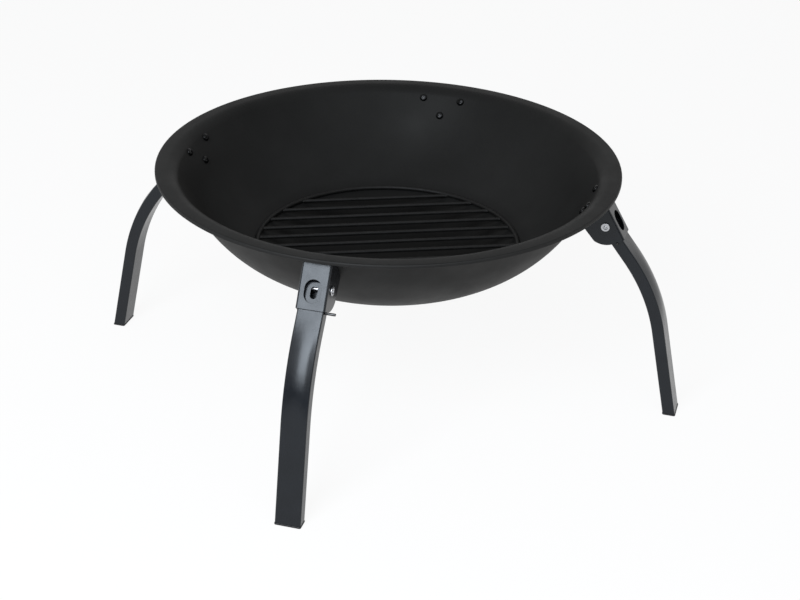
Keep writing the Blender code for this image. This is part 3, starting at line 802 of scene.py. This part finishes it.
def bowl_profile():
    """Section of the bowl, from the axis along the inside, round the hem and back under it."""
    floor, belly, lip, hem, fold = 5, 36, 14, 8, 6
    edge = plane(RIM_RADIUS - HEM_BEND, RIM_TOP - HEM_BEND)
    half = BOWL_SHEET / 2
    bend = bpy.context.scene.bowl_look.lip_bend
    centre = LIP_CORNER + WALL_DOWN * (bend * tan(LIP_TURN / 2)) + WALL_OUT * bend
    floor_steps = [BELLY_CENTRE[0] * i / floor for i in range(floor)]
    inside = [plane(r, BOWL_LOW + BOWL_SHEET) for r in floor_steps]
    inside += arc(BELLY_CENTRE, BELLY_RADIUS - BOWL_SHEET, -pi / 2, -WALL_LEAN, belly)
    inside += arc(centre, bend, pi - WALL_LEAN, pi / 2 + LIP_SLOPE, lip)
    inside += arc(edge, HEM_BEND, pi / 2 + LIP_SLOPE, 0, hem)
    bottom = plane(RIM_RADIUS - half, RIM_TOP - HEM_DROP + half)
    inside += arc(bottom, half, 0, -pi, fold)
    under = [plane(r, BOWL_LOW) for r in floor_steps]
    under += arc(BELLY_CENTRE, BELLY_RADIUS, -pi / 2, -WALL_LEAN, belly)
    under += arc(centre, bend - BOWL_SHEET, pi - WALL_LEAN, pi / 2 + LIP_SLOPE, lip)
    under += arc(edge, HEM_BEND - BOWL_SHEET, pi / 2 + LIP_SLOPE, 0, hem // 2)
    return inside + under[::-1]


class FIREBOWL_OT_bowl(bpy.types.Operator):
    """Turn the pressed bowl with its rolled lip and hem"""

    bl_idname = "firebowl.bowl"
    bl_label = "Bowl"

    def execute(self, context):
        paint = finish("bowl_paint_look")
        mesh = turned(bowl_profile(), context.scene.bowl_look.facets, paint)
        mesh.shade_smooth()
        mesh.set_sharp_from_angle(angle=BOWL_SHARP)
        shell = piece("bowl_shell", mesh, paint, "bowl", ["bowl"])
        shell.data.materials.append(finish("outer_paint_look"))
        for face in shell.data.polygons:
            along, up = face.center.xy.normalized(), face.normal.z
            face.material_index = int(face.normal.xy.dot(along) * WALL_OUT[0] + up * WALL_OUT[1] > 0)
        return {"FINISHED"}


# Grate

def rods_tree():
    """Tree of parallel rods across a ring, with a small weld at each end."""
    sizes = ["Pitch", "Reach", "Rod Wire", "Drop", "Turn", "Height"]
    tree, inputs = new_tree("Grate rods", sizes, ["Count"])
    count, pitch, wire = inputs["Count"], inputs["Pitch"], inputs["Rod Wire"]
    start = vector(tree, Y=(count - 1.0) / 2.0 * pitch * -1.0)
    line = result(
        tree, "GeometryNodeMeshLine",
        [("Count", count), ("Start Location", start), ("Offset", vector(tree, Y=pitch))])
    place = result(tree, "GeometryNodeInputPosition")
    across = result(tree, "ShaderNodeSeparateXYZ", [("Vector", place)], "Y")
    half = (inputs["Reach"].math("POWER", 2.0) - across.math("POWER", 2.0)).math("SQRT")
    # The bar is 2 m long, so half a chord as its scale makes it as long as the chord
    bar = laid(cylinder(tree, 20, wire, 2.0), Rotation=(0.0, pi / 2, 0.0))
    parts = [instances(line, bar, Scale=vector(tree, X=half, Y=1.0, Z=1.0))]
    bead = result(tree, "GeometryNodeMeshIcoSphere", [("Radius", wire), ("Subdivisions", 3)])
    for side in (-1.0, 1.0):
        end = shifted(line, Offset=vector(tree, X=half * side))
        parts.append(instances(end, bead, Scale=BEAD_SHAPE))
    spot = vector(tree, Z=inputs["Height"] - inputs["Drop"])
    spin = vector(tree, Z=inputs["Turn"])
    close_tree(laid(together(*parts), Translation=spot, Rotation=spin), inputs["Material"])
    return tree


class FIREBOWL_OT_grate(bpy.types.Operator):
    """Lay the wire ring and its rods in the bowl"""

    bl_idname = "firebowl.grate"
    bl_label = "Fire grate"

    def execute(self, context):
        look = context.scene.grate_look
        coat = finish("grate_coat_look")
        reach = BELLY_RADIUS - BOWL_SHEET - GAP - look.ring_wire
        height = BELLY_CENTRE[1] - sqrt(reach ** 2 - (look.ring_radius - BELLY_CENTRE[0]) ** 2)
        section = arc((look.ring_radius, height), look.ring_wire, 0, 2 * pi, 20)[:-1]
        ring = turned(section, facets=160, material=coat, closed=True)
        ring.shade_smooth()
        piece("fire_grate_ring", ring, coat, "grate", ["grate_ring"])
        values = {
            "Count": look.count, "Pitch": look.pitch, "Reach": look.ring_radius - look.ring_wire * ROD_SINK,
            "Rod Wire": look.rod_wire, "Drop": look.drop, "Turn": look.turn,
            "Height": height, "Material": coat,
        }
        rods = grown(bpy.data.meshes.new("base"), rods_tree(), values)
        rods.shade_smooth()
        rods.set_sharp_from_angle(angle=SHARP)
        nodes = [name for name in frame["nodes"] if name.startswith("grate_bar_")]
        piece("fire_grate_rods", rods, coat, "grate", nodes)
        return {"FINISHED"}


# Bracket and leg

def under_side(length, offset):
    """Point at a length below the wall's top and an offset outside the sheet."""
    if length <= WALL_LENGTH:
        return WALL_TOP + WALL_DOWN * length + WALL_OUT * offset
    turn = (length - WALL_LENGTH) / BELLY_RADIUS
    normal = plane(cos(WALL_LEAN + turn), -sin(WALL_LEAN + turn))
    return BELLY_CENTRE + normal * (BELLY_RADIUS + offset)


def plate_frame(along, offset):
    """Point from the pivot, along the outer plate and out from it."""
    return PIVOT + leaning(PLATE_LEAN) * along + facing(PLATE_LEAN) * offset


def leg_frame(along, offset):
    """Point from the pivot, along the leg's upper run and out from it."""
    return PIVOT + leaning(LEG_UPPER_LEAN) * along + facing(LEG_UPPER_LEAN) * offset


def bracket_width():
    """Width over the cheeks, which stand just off the tube."""
    return bpy.context.scene.leg_look.width + 2 * (GAP + BRACKET_SHEET)


def plate_offset():
    """Outer face of the plate from the pivot, so that its lower edge clears the tube."""
    turn = LEG_UPPER_LEAN - PLATE_LEAN
    face = (bpy.context.scene.leg_look.depth / 2 + PLATE_DOWN * sin(turn)) / cos(turn)
    return face + PLATE_CLEARANCE + BRACKET_SHEET


def pin_down():
    """The stop pin's place down the tube, just past the round of the cheeks."""
    return CHEEK_ARC + bpy.context.scene.hardware_look.pin + GAP


def channel():
    """Folded channel along the outer plate, with round folds."""
    half = bracket_width() / 2
    inner = half - BRACKET_SHEET
    depth = -2 * LEG_UPPER_LENGTH
    out = plate_offset() - BRACKET_FOLD
    bend = BRACKET_FOLD - BRACKET_SHEET
    right, left = (half - BRACKET_FOLD, out), (BRACKET_FOLD - half, out)
    outline = [plane(half, depth)] + arc(right, BRACKET_FOLD, 0, pi / 2, 6)
    outline += arc(left, BRACKET_FOLD, pi / 2, pi, 6) + [plane(-half, depth), plane(-inner, depth)]
    outline += arc(left, bend, pi, pi / 2, 5) + arc(right, bend, pi / 2, 0, 5) + [plane(inner, depth)]
    mesh = extruded(outline, 2 * (PLATE_UP + PLATE_DOWN), "channel")
    mesh.transform(Matrix.Rotation(pi / 2, 4, "X") @ Matrix.Rotation(pi / 2, 4, "Y"))
    return placed(mesh, PIVOT, PLATE_LEAN)


def cheek_outline():
    """Side view of the bracket, counted round from the plate's top."""
    back = GAP + BRACKET_SHEET / 2
    out = plate_offset()
    notch = bpy.context.scene.hardware_look.pin + GAP
    outline = [plate_frame(-PLATE_UP, out + REACH), plate_frame(PLATE_DOWN, out + REACH)]
    outline += [plate_frame(PLATE_DOWN, out - BRACKET_SHEET - GAP)]
    outline += [leg_frame(pin_down() + GAP, notch), leg_frame(CHEEK_ARC - GAP, notch)]
    outline += arc(PIVOT, CHEEK_ARC, LEG_UPPER_LEAN - pi / 2, CHEEK_CORNER - 2 * pi, 28)[1:]
    outline += [under_side(CHEEK_BOTTOM, back), under_side(FLANGE_TOP, back)]
    return outline


def back_flange():
    """Flange that follows the bowl's wall: ears at the top and a tongue below."""
    ear = bracket_width() / 2 + EAR_WIDTH
    tongue = (bracket_width() - BRACKET_SHEET) / 2
    steps = 14
    across = [-tongue + 2 * tongue * i / steps for i in range(steps + 1)]
    wing = [tongue + (ear - tongue) * i / 6 for i in range(1, 7)]
    across = [-y for y in wing[::-1]] + across + wing
    downs = [FLANGE_TOP, EAR_BOTTOM, WALL_LENGTH, TONGUE_BOTTOM]
    bm = bmesh.new()
    sheets = []
    for offset in (GAP, GAP + BRACKET_SHEET):
        grid = {}
        for i, y in enumerate(across):
            turn = y / WALL_TOP[0]
            for j, down in enumerate(downs):
                if down <= EAR_BOTTOM or abs(y) <= tongue + WELD:
                    r, z = under_side(down, offset)
                    grid[i, j] = bm.verts.new((r * cos(turn), r * sin(turn), z))
        sheets.append(grid)
    counts = {}
    for i, j in list(sheets[0]):
        corners = [(i, j), (i + 1, j), (i + 1, j + 1), (i, j + 1)]
        if not all(corner in sheets[0] for corner in corners):
            continue
        for grid in sheets:
            bm.faces.new([grid[corner] for corner in corners])
        for pair in zip(corners, corners[1:] + corners[:1]):
            counts[frozenset(pair)] = counts.get(frozenset(pair), 0) + 1
    for pair, count in counts.items():
        if count == 1:
            a, b = sorted(pair)
            bm.faces.new((sheets[0][a], sheets[0][b], sheets[1][b], sheets[1][a]))
    return mesh_from(bm, "flange")


class FIREBOWL_OT_brackets(bpy.types.Operator):
    """Fold the four leg brackets out of sheet"""

    bl_idname = "firebowl.brackets"
    bl_label = "Brackets"

    def execute(self, context):
        coat = finish("leg_coat_look")
        width, length, drop = PLATE_SLOT
        slot = placed(stadium(width, length, REACH), plate_frame(drop, plate_offset()), PLATE_LEAN)
        rivet = context.scene.hardware_look.rivet_shank + GAP
        steps = [
            ("INTERSECT", extruded(cheek_outline(), 2 * bracket_width(), "cheeks")),
            ("UNION", back_flange()),
            ("DIFFERENCE", slot),
            ("DIFFERENCE", rod(rivet, 2 * bracket_width(), (PIVOT[0], 0, PIVOT[1]))),
        ]
        mesh = eased(combine(channel(), steps), SHEET_EASE)
        for side in STATIONS:
            sheet = at_station(mesh, side)
            piece(f"{side}_bracket_sheet", sheet, coat, "bowl", [f"{side}_bracket"])
        return {"FINISHED"}


def section_points(width, depth, corner, crown=0.0):
    """Rounded rectangle: (n, y) points, with n across the depth; a crown swells the outer face."""
    steps, runs = 6, 10
    flat = width / 2 - corner
    points = []
    for quarter, (sn, sy) in enumerate(((1, 1), (-1, 1), (-1, -1), (1, -1))):
        centre = (sn * (depth / 2 - corner), sy * flat)
        points += arc(centre, corner, quarter * pi / 2, (quarter + 1) * pi / 2, steps)
        if quarter in (1, 3):
            n, y = points[-1]
            points += [plane(n, y - sy * 2 * flat * i / runs) for i in range(1, runs)]
    swelled = []
    for n, y in points:
        across = max(-1.0, min(y / flat, 1.0))
        rise = crown * (1 - across ** 2) * (1 + LEG_CROWN_SKEW * across)
        swelled.append(plane(n + (rise if n > 0 else 0), y))
    return swelled


def leg_path():
    """Stations down the leg: (r, z) and the lean there."""
    straight, bend = 6, 28
    centre = leg_frame(LEG_UPPER_LENGTH, -LEG_BEND)
    path = [(leg_frame(-LEG_HEAD, 0), LEG_UPPER_LEAN)]
    start = LEG_CROWN_RUN[0]
    for i in range(straight):
        path.append((leg_frame(start + (LEG_UPPER_LENGTH - start) * i / straight, 0), LEG_UPPER_LEAN))
    for i in range(bend + 1):
        lean = LEG_UPPER_LEAN + (LEG_LOWER_LEAN - LEG_UPPER_LEAN) * i / bend
        path.append((centre + facing(lean) * LEG_BEND, lean))
    return path


def eased_step(value, low, high):
    """Smooth rise from 0 to 1 between two values."""
    share = min(max((value - low) / (high - low), 0.0), 1.0)
    return share * share * (3 - 2 * share)


def crown_at(at, lean):
    """How far the bend has pushed out the middle of the outer face, at a point of the path."""
    along = (at - PIVOT).dot(leaning(LEG_UPPER_LEAN))
    if lean < LEG_UPPER_LEAN:
        along = LEG_UPPER_LENGTH + LEG_BEND * (LEG_UPPER_LEAN - lean)
    start, full, fade, end = LEG_CROWN_RUN
    return LEG_CROWN * eased_step(along, start, full) * (1 - eased_step(along, fade, end))


def station_ring(at, lean, outline):
    """Ring square to the leg at a point of its path."""
    out = facing(lean)
    return [(at[0] + out[0] * n, y, at[1] + out[1] * n) for n, y in outline]


def level_ring(at, lean, outline, z):
    """Ring where the leg's straight run, through a point, meets a level plane."""
    down = leaning(lean)
    ring = []
    for r, y, height in station_ring(at, lean, outline):
        ring.append((r + down[0] * (height - z) / -down[1], y, z))
    return ring


def tube(width, depth, corner, past, floor):
    """The leg's outer form, or its hollow where it runs past both ends."""
    outline = section_points(width, depth, corner)
    path = leg_path()
    head, lean = path[0]
    rings = [station_ring(head - leaning(lean) * past, lean, outline)]
    for at, lean in path[1:]:
        rings.append(station_ring(at, lean, section_points(width, depth, corner, crown_at(at, lean))))
    rings.append(level_ring(*path[-1], outline, floor - past))
    return lofted(rings, "tube")


def head_cut(side, radius, depth, width):
    """Cutter that rounds the leg's head on its outer (1) or inner (-1) face."""
    top = depth / 2
    outline = [plane(top + REACH, LEG_HEAD - radius), plane(top + REACH, LEG_HEAD + REACH)]
    outline += [plane(top - radius, LEG_HEAD + REACH)]
    outline += arc((top - radius, LEG_HEAD - radius), radius, pi / 2, 0, 12)
    mesh = extruded([plane(side * n, along) for n, along in outline], 2 * width, "head_cut")
    return placed(mesh, PIVOT, LEG_UPPER_LEAN)


def leg_tube():
    """Bent tube, open at both ends, with its slots and holes."""
    look = bpy.context.scene.leg_look
    hardware = bpy.context.scene.hardware_look
    end = FOOT_FLANGE + GAP
    inner_corner = max(look.corner - look.wall, look.wall / 3)
    hollow = tube(look.width - 2 * look.wall, look.depth - 2 * look.wall, inner_corner, REACH, end)
    hole = 2 * (hardware.rivet_shank + GAP)
    slot = stadium(hole, hole + LEG_RELEASE, 2 * look.width)
    slot.transform(Matrix.Rotation(pi / 2, 4, "Z"))
    slot.transform(Matrix.Translation((0, 0, LEG_RELEASE / 2)))
    pin = rod(hardware.pin + GAP, 2 * look.width, (0, 0, -pin_down()))
    width, length, drop = LEG_HOLE
    oblong = stadium(width, length, look.depth)
    oblong.transform(Matrix.Translation((look.depth / 2, 0, -drop)))
    steps = [
        ("DIFFERENCE", hollow),
        ("DIFFERENCE", head_cut(1, LEG_HEAD_FRONT_ROUND, look.depth, look.width)),
        ("DIFFERENCE", head_cut(-1, LEG_HEAD_BACK_ROUND, look.depth, look.width)),
        *[("DIFFERENCE", placed(cut, PIVOT, LEG_UPPER_LEAN)) for cut in (slot, pin, oblong)],
    ]
    return eased(combine(tube(look.width, look.depth, look.corner, 0.0, end), steps), 0.0)


def foot_plug():
    """Plug with an eased flange under the tube's end, and a stem up inside it."""
    look = bpy.context.scene.leg_look
    at, lean = leg_path()[-1]
    inner = 2 * (look.wall + GAP)
    rings = []
    for inset, z in FOOT_EDGE:
        proud = FOOT_PROUD - inset
        ring = section_points(look.width + 2 * proud, look.depth + 2 * proud, look.corner + proud)
        rings.append(level_ring(at, lean, ring, z))
    stem = section_points(look.width - inner, look.depth - inner, FOOT_STEM_CORNER)
    rings += [level_ring(at, lean, stem, z) for z in (FOOT_FLANGE, FOOT_FLANGE + FOOT_PLUG)]
    return eased(lofted(rings, "foot_plug"), 0.0)


class FIREBOWL_OT_legs(bpy.types.Operator):
    """Bend the four tube legs and plug their feet"""

    bl_idname = "firebowl.legs"
    bl_label = "Legs and foot plugs"

    def execute(self, context):
        coat, plastic = finish("leg_coat_look"), finish("foot_plastic_look")
        leg, foot = leg_tube(), foot_plug()
        for side in STATIONS:
            body = f"{side}_leg"
            tube_piece, plug_piece = at_station(leg, side), at_station(foot, side)
            piece(f"{side}_leg_tube", tube_piece, coat, body, [body])
            piece(f"{side}_foot_plug", plug_piece, plastic, body, [f"{side}_foot_cap"])
        return {"FINISHED"}


# Rivets, pins, screws and nuts

def rivet_profile():
    """Section of a rivet from end to end, with a hollow-centred head at each."""
    look = bpy.context.scene.hardware_look
    head, shank = look.rivet_head, look.rivet_shank
    seat = bracket_width() / 2 + GAP
    face = seat + look.rivet_height
    step = look.rivet_height / 3
    half = [(shank, seat), (head - RIVET_EASE, seat), (head, seat + RIVET_EASE)]
    half += arc((head - step, face - step), step, 0, pi / 2, 5)
    half += [(shank + step, face), (shank + step / 2, face - step / 2), (shank, face - 2 * step)]
    half += [(shank * share, face - step * deep) for share, deep in RIVET_HOLLOW]
    return [(r, -y) for r, y in half[::-1]] + half


def pin_profile():
    """Section of a stop pin, flush on one side of the bracket and standing out on the other."""
    look = bpy.context.scene.hardware_look
    start, end = -bracket_width() / 2, bracket_width() / 2 + look.pin_stand
    neck = look.pin - PIN_EASE
    low = arc((neck, start + PIN_EASE), PIN_EASE, -pi / 2, 0, 4)[1:]
    high = arc((neck, end - PIN_EASE), PIN_EASE, 0, pi / 2, 4)
    return [(0, start), (neck, start), *low, *high, (0, end)]


class FIREBOWL_OT_pivots(bpy.types.Operator):
    """Set the pivot rivets and stop pins in the brackets"""

    bl_idname = "firebowl.pivots"
    bl_label = "Rivets and stop pins"

    def execute(self, context):
        zinc, steel = finish("zinc_look"), finish("pin_steel_look")
        rivet = turned(rivet_profile(), facets=48, material=zinc)
        pin = turned(pin_profile(), facets=28, material=steel)
        for mesh, at in ((rivet, PIVOT), (pin, leg_frame(pin_down(), 0))):
            mesh.transform(Matrix.Translation((at[0], 0, at[1])) @ Matrix.Rotation(-pi / 2, 4, "X"))
            mesh.shade_smooth()
            mesh.set_sharp_from_angle(angle=SHARP)
        for side in STATIONS:
            head, end = at_station(rivet, side), at_station(pin, side)
            piece(f"{side}_rivet_head", head, zinc, f"{side}_rivet", [f"{side}_pivot_rivet"])
            piece(f"{side}_leg_pin", end, steel, f"{side}_leg", [f"{side}_stop_pin"])
        return {"FINISHED"}


def fastener_places():
    """Base mesh with a point at each screw, and its turn as an attribute."""
    spread = (bracket_width() / 2 + UPPER_SCREW_OUT) / under_side(UPPER_SCREW_DROP, 0)[0]
    spots, turns = [], []
    for degrees in STATIONS.values():
        for swing, drop in ((-spread, UPPER_SCREW_DROP), (spread, UPPER_SCREW_DROP), (0.0, LOWER_SCREW_DROP)):
            r, z = under_side(drop, 0)
            angle = radians(degrees) + swing
            spots.append((r * cos(angle), r * sin(angle), z))
            spin = Matrix.Rotation(SCREW_SPIN * len(spots), 4, "Z")
            lean = Matrix.Rotation(angle, 4, "Z") @ Matrix.Rotation(WALL_LEAN - pi / 2, 4, "Y")
            turns.append((lean @ spin).to_euler("XYZ"))
    mesh = bpy.data.meshes.new("places")
    mesh.from_pydata(spots, [], [])
    attribute = mesh.attributes.new("turn", "FLOAT_VECTOR", "POINT")
    for place, turn in zip(attribute.data, turns):
        place.vector = turn
    return mesh


def set_out(inputs, shape):
    """Put a shape on the base mesh's points, each with its own turn, and close the tree."""
    turn = result(
        shape.tree, "GeometryNodeInputNamedAttribute", [("Name", "turn")], data_type="FLOAT_VECTOR")
    close_tree(instances(inputs["Geometry"], shape, Rotation=turn), inputs["Material"])


def screws_tree():
    """Tree of pan-head screws with a cross recess, from the base mesh's points."""
    sizes = ["Head Radius", "Head Height", "Shank Radius", "Seat", "Tail", "Recess"]
    tree, inputs = new_tree("Pan-head screws", sizes)
    tall, seat, tail, recess = (inputs[name] for name in ("Head Height", "Seat", "Tail", "Recess"))
    rows, columns = 12, 33
    grid = result(tree, "GeometryNodeMeshGrid", [("Vertices X", rows + 1), ("Vertices Y", columns)])
    row, column = row_and_column(tree, float(columns))
    turn = column / (columns - 1.0) * (2 * pi)
    climb = ((row - 1.0) * (pi / 2 / (rows - 1))).math("MAXIMUM", 0.0)
    bulge = climb.math("COSINE").math("MAXIMUM", 0.0).math("POWER", DOME_SIDE)
    radius = bulge * row.math("MINIMUM", 1.0) * inputs["Head Radius"]
    height = climb.math("SINE").math("POWER", DOME_RISE) * tall + seat
    where = vector(tree, X=radius * turn.math("COSINE"), Y=radius * turn.math("SINE"), Z=height)
    dome = welded(shifted(grid, Position=where))
    thin, deep = recess * RECESS_WIDTH, tall * RECESS_DEPTH
    cutters = []
    for x_size, y_size in ((recess, thin), (thin, recess)):
        size = vector(tree, X=x_size, Y=y_size, Z=deep)
        cutters.append(lifted(result(tree, "GeometryNodeMeshCube", [("Size", size)]), seat + tall))
    shank = cylinder(tree, 24, inputs["Shank Radius"], seat - tail)
    set_out(inputs, together(cut_from(dome, cutters), lifted(shank, (seat + tail) / 2.0)))
    return tree


def nuts_tree():
    """Tree of chamfered hexagon nuts, from the base mesh's points."""
    tree, inputs = new_tree("Hexagon nuts", ["Across Flats", "Height", "Top", "Bore"])
    flats, tall = inputs["Across Flats"], inputs["Height"]
    hexagon = cylinder(tree, 6, flats / (2 * cos(pi / 6)), tall)
    wide, narrow = flats * CONE_WIDE, flats * CONE_NARROW
    cone = result(
        tree, "GeometryNodeMeshCone",
        [("Vertices", 48), ("Radius Top", wide), ("Radius Bottom", narrow), ("Depth", tall)])
    rounded = cut_from(hexagon, [lifted(cone, tall * -0.5)], "INTERSECT")
    bored = cut_from(rounded, [cylinder(tree, 32, inputs["Bore"], tall * 3.0)])
    set_out(inputs, lifted(bored, inputs["Top"] - tall * 0.5))
    return tree


class FIREBOWL_OT_screws(bpy.types.Operator):
    """Screw the brackets to the bowl"""

    bl_idname = "firebowl.screws"
    bl_label = "Bracket screws and nuts"

    def execute(self, context):
        look = context.scene.hardware_look
        black = finish("black_steel_look")
        top = -(GAP + BRACKET_SHEET + GAP)
        screws = grown(fastener_places(), screws_tree(), {
            "Head Radius": look.head_radius, "Head Height": look.head_height, "Shank Radius": look.shank,
            "Seat": BOWL_SHEET + GAP, "Tail": top - look.nut_height - SCREW_TAIL,
            "Recess": look.recess, "Material": black,
        })
        nuts = grown(fastener_places(), nuts_tree(), {
            "Across Flats": look.nut_flats, "Height": look.nut_height, "Top": top,
            "Bore": look.shank + NUT_CLEARANCE, "Material": black,
        })
        for name, mesh, end in (("bracket_screws", screws, "_screw"), ("bracket_nuts", nuts, "_nut")):
            mesh.shade_smooth()
            mesh.set_sharp_from_angle(angle=SHARP)
            nodes = [node for node in frame["nodes"] if node.endswith(end)]
            piece(name, mesh, black, "bowl", nodes)
        return {"FINISHED"}


# Stage

def standing(name, data):
    """Object in the scene for a mesh, a lamp or a camera."""
    item = bpy.data.objects.new(name, data)
    bpy.context.scene.collection.objects.link(item)
    return item


def add_light(name, at, size, power):
    """Softbox that looks at the middle of the bowl."""
    data = bpy.data.lights.new(name, "AREA")
    data.shape = "RECTANGLE"
    data.size, data.size_y = size
    data.energy = power
    data.color = bpy.context.scene.stage_look.key_colour
    item = standing(name, data)
    item.location = at
    item.rotation_euler = (Vector(at) - LIGHTS_AIM).to_track_quat("Z", "Y").to_euler()


def seen_white(tree):
    """1 where the background is seen directly, in a gloss or through glass."""
    path = tree.nodes.new("ShaderNodeLightPath").outputs
    camera, glossy, glass = (
        Term(tree, path[name]) for name in ("Is Camera Ray", "Is Glossy Ray", "Is Transmission Ray"))
    return camera.math("MAXIMUM", glossy.math("MAXIMUM", glass))


def floor_material():
    """Pale floor that stays near white away from the bowl, and keeps its shadow."""
    material = bpy.data.materials.new("floor_look")
    material.use_nodes = True
    tree = material.node_tree
    tree.nodes.clear()
    soft = ramp(noise(tree, 3.0, 2.0, 0.5), 0.0, 1.0, 0.86, 0.90)
    diffuse = result(tree, "ShaderNodeBsdfDiffuse", [("Color", soft)])
    glow = result(tree, "ShaderNodeEmission", [("Color", (1, 1, 1, 1)), ("Strength", 1.0)])
    share = seen_white(tree) * FLOOR_WHITE
    mix = result(tree, "ShaderNodeMixShader", [(0, share), (1, diffuse), (2, glow)])
    mix.to(tree.nodes.new("ShaderNodeOutputMaterial").inputs["Surface"])
    return material


def floor_mesh():
    """Round floor just under the feet."""
    bm = bmesh.new()
    bmesh.ops.create_circle(bm, cap_ends=True, segments=96, radius=FLOOR_RADIUS)
    mesh = mesh_from(bm, "floor")
    mesh.transform(Matrix.Translation((0, 0, -FLOOR_DROP)))
    mesh.materials.append(floor_material())
    return mesh


def curtain_mesh(high):
    """Curved dark curtain behind the camera, which the legs mirror below the softbox."""
    steps = 24
    bm = bmesh.new()
    turns = [radians(CURTAIN_FROM + CURTAIN_SWEEP * i / steps) for i in range(steps + 1)]
    edges = [(CURTAIN_RADIUS * cos(a), CURTAIN_RADIUS * sin(a)) for a in turns]
    rows = [[bm.verts.new((x, y, z)) for z in (CURTAIN_LOW, high)] for x, y in edges]
    for one, two in zip(rows, rows[1:]):
        bm.faces.new((one[0], two[0], two[1], one[1]))
    mesh = mesh_from(bm, "dark_curtain")
    material, tree = shader("dark_curtain_look", CURTAIN_COLOUR, roughness=0.9, specular=0.1)
    cloth = ramp(noise(tree, 40.0), 0.3, 0.7, 0.8, 1.0)
    cloth.to(tree.nodes["Principled BSDF"].inputs["Roughness"])
    mesh.materials.append(material)
    return mesh


def light_room(strength):
    """World that gives an even light, and is white where it is seen."""
    world = bpy.data.worlds.new("room")
    world.use_nodes = True
    background = world.node_tree.nodes["Background"].inputs
    background["Color"].default_value = (1, 1, 1, 1)
    ramp(seen_white(world.node_tree), 0.0, 1.0, strength, 1.0).to(background["Strength"])
    bpy.context.scene.world = world


class FIREBOWL_OT_stage(bpy.types.Operator):
    """Set the floor, the softboxes, the room's light and the camera"""

    bl_idname = "firebowl.stage"
    bl_label = "Stage"

    def execute(self, context):
        look = context.scene.stage_look
        floor = standing("floor", floor_mesh())
        add_light("key_softbox", KEY_AT, KEY_SIZE, look.key)
        add_light("strip_softbox", STRIP_AT, STRIP_SIZE, look.strip)
        curtain = standing("dark_curtain", curtain_mesh(look.curtain))
        curtain.visible_camera = False
        light_room(look.room)
        data = bpy.data.cameras.new("camera")
        data.sensor_width = 36.0
        data.lens = look.lens
        camera = standing("camera", data)
        camera.location = CAMERA_AT
        camera.rotation_euler = [radians(turn) for turn in CAMERA_TURN]
        context.scene.camera = camera
        context.scene.view_settings.view_transform = "Standard"
        return {"FINISHED"}


class FIREBOWL_PT_panel(bpy.types.Panel):
    """Lists the pieces of the fire bowl"""

    bl_label = "Fire bowl"
    bl_idname = "FIREBOWL_PT_panel"
    bl_space_type = "VIEW_3D"
    bl_region_type = "UI"
    bl_category = "Fire bowl"

    def draw(self, context):
        for operator, look in STEPS:
            box = self.layout.box()
            box.operator(operator.bl_idname)
            group = getattr(context.scene, look)
            for key in group.__annotations__:
                box.prop(group, key)


STEPS = [
    (FIREBOWL_OT_bowl, "bowl_look"),
    (FIREBOWL_OT_grate, "grate_look"),
    (FIREBOWL_OT_brackets, "leg_look"),
    (FIREBOWL_OT_legs, "leg_look"),
    (FIREBOWL_OT_pivots, "hardware_look"),
    (FIREBOWL_OT_screws, "hardware_look"),
    (FIREBOWL_OT_stage, "stage_look"),
]
LOOKS = {
    "bowl_look": BowlLook, "grate_look": GrateLook, "leg_look": LegLook,
    "hardware_look": HardwareLook, "stage_look": StageLook,
}


def register():
    """Register the properties, operators and panel."""
    for name, look in LOOKS.items():
        bpy.utils.register_class(look)
        setattr(bpy.types.Scene, name, PointerProperty(type=look))
    for operator, _ in STEPS:
        bpy.utils.register_class(operator)
    bpy.utils.register_class(FIREBOWL_PT_panel)


def unregister():
    """Take them out again."""
    bpy.utils.unregister_class(FIREBOWL_PT_panel)
    for operator, _ in reversed(STEPS):
        bpy.utils.unregister_class(operator)
    for name, look in LOOKS.items():
        delattr(bpy.types.Scene, name)
        bpy.utils.unregister_class(look)


def main():
    """Build every piece and the stage."""
    register()
    bpy.ops.firebowl.bowl()
    bpy.ops.firebowl.grate()
    bpy.ops.firebowl.brackets()
    bpy.ops.firebowl.legs()
    bpy.ops.firebowl.pivots()
    bpy.ops.firebowl.screws()
    bpy.ops.firebowl.stage()


if __name__ == "__main__":
    main()
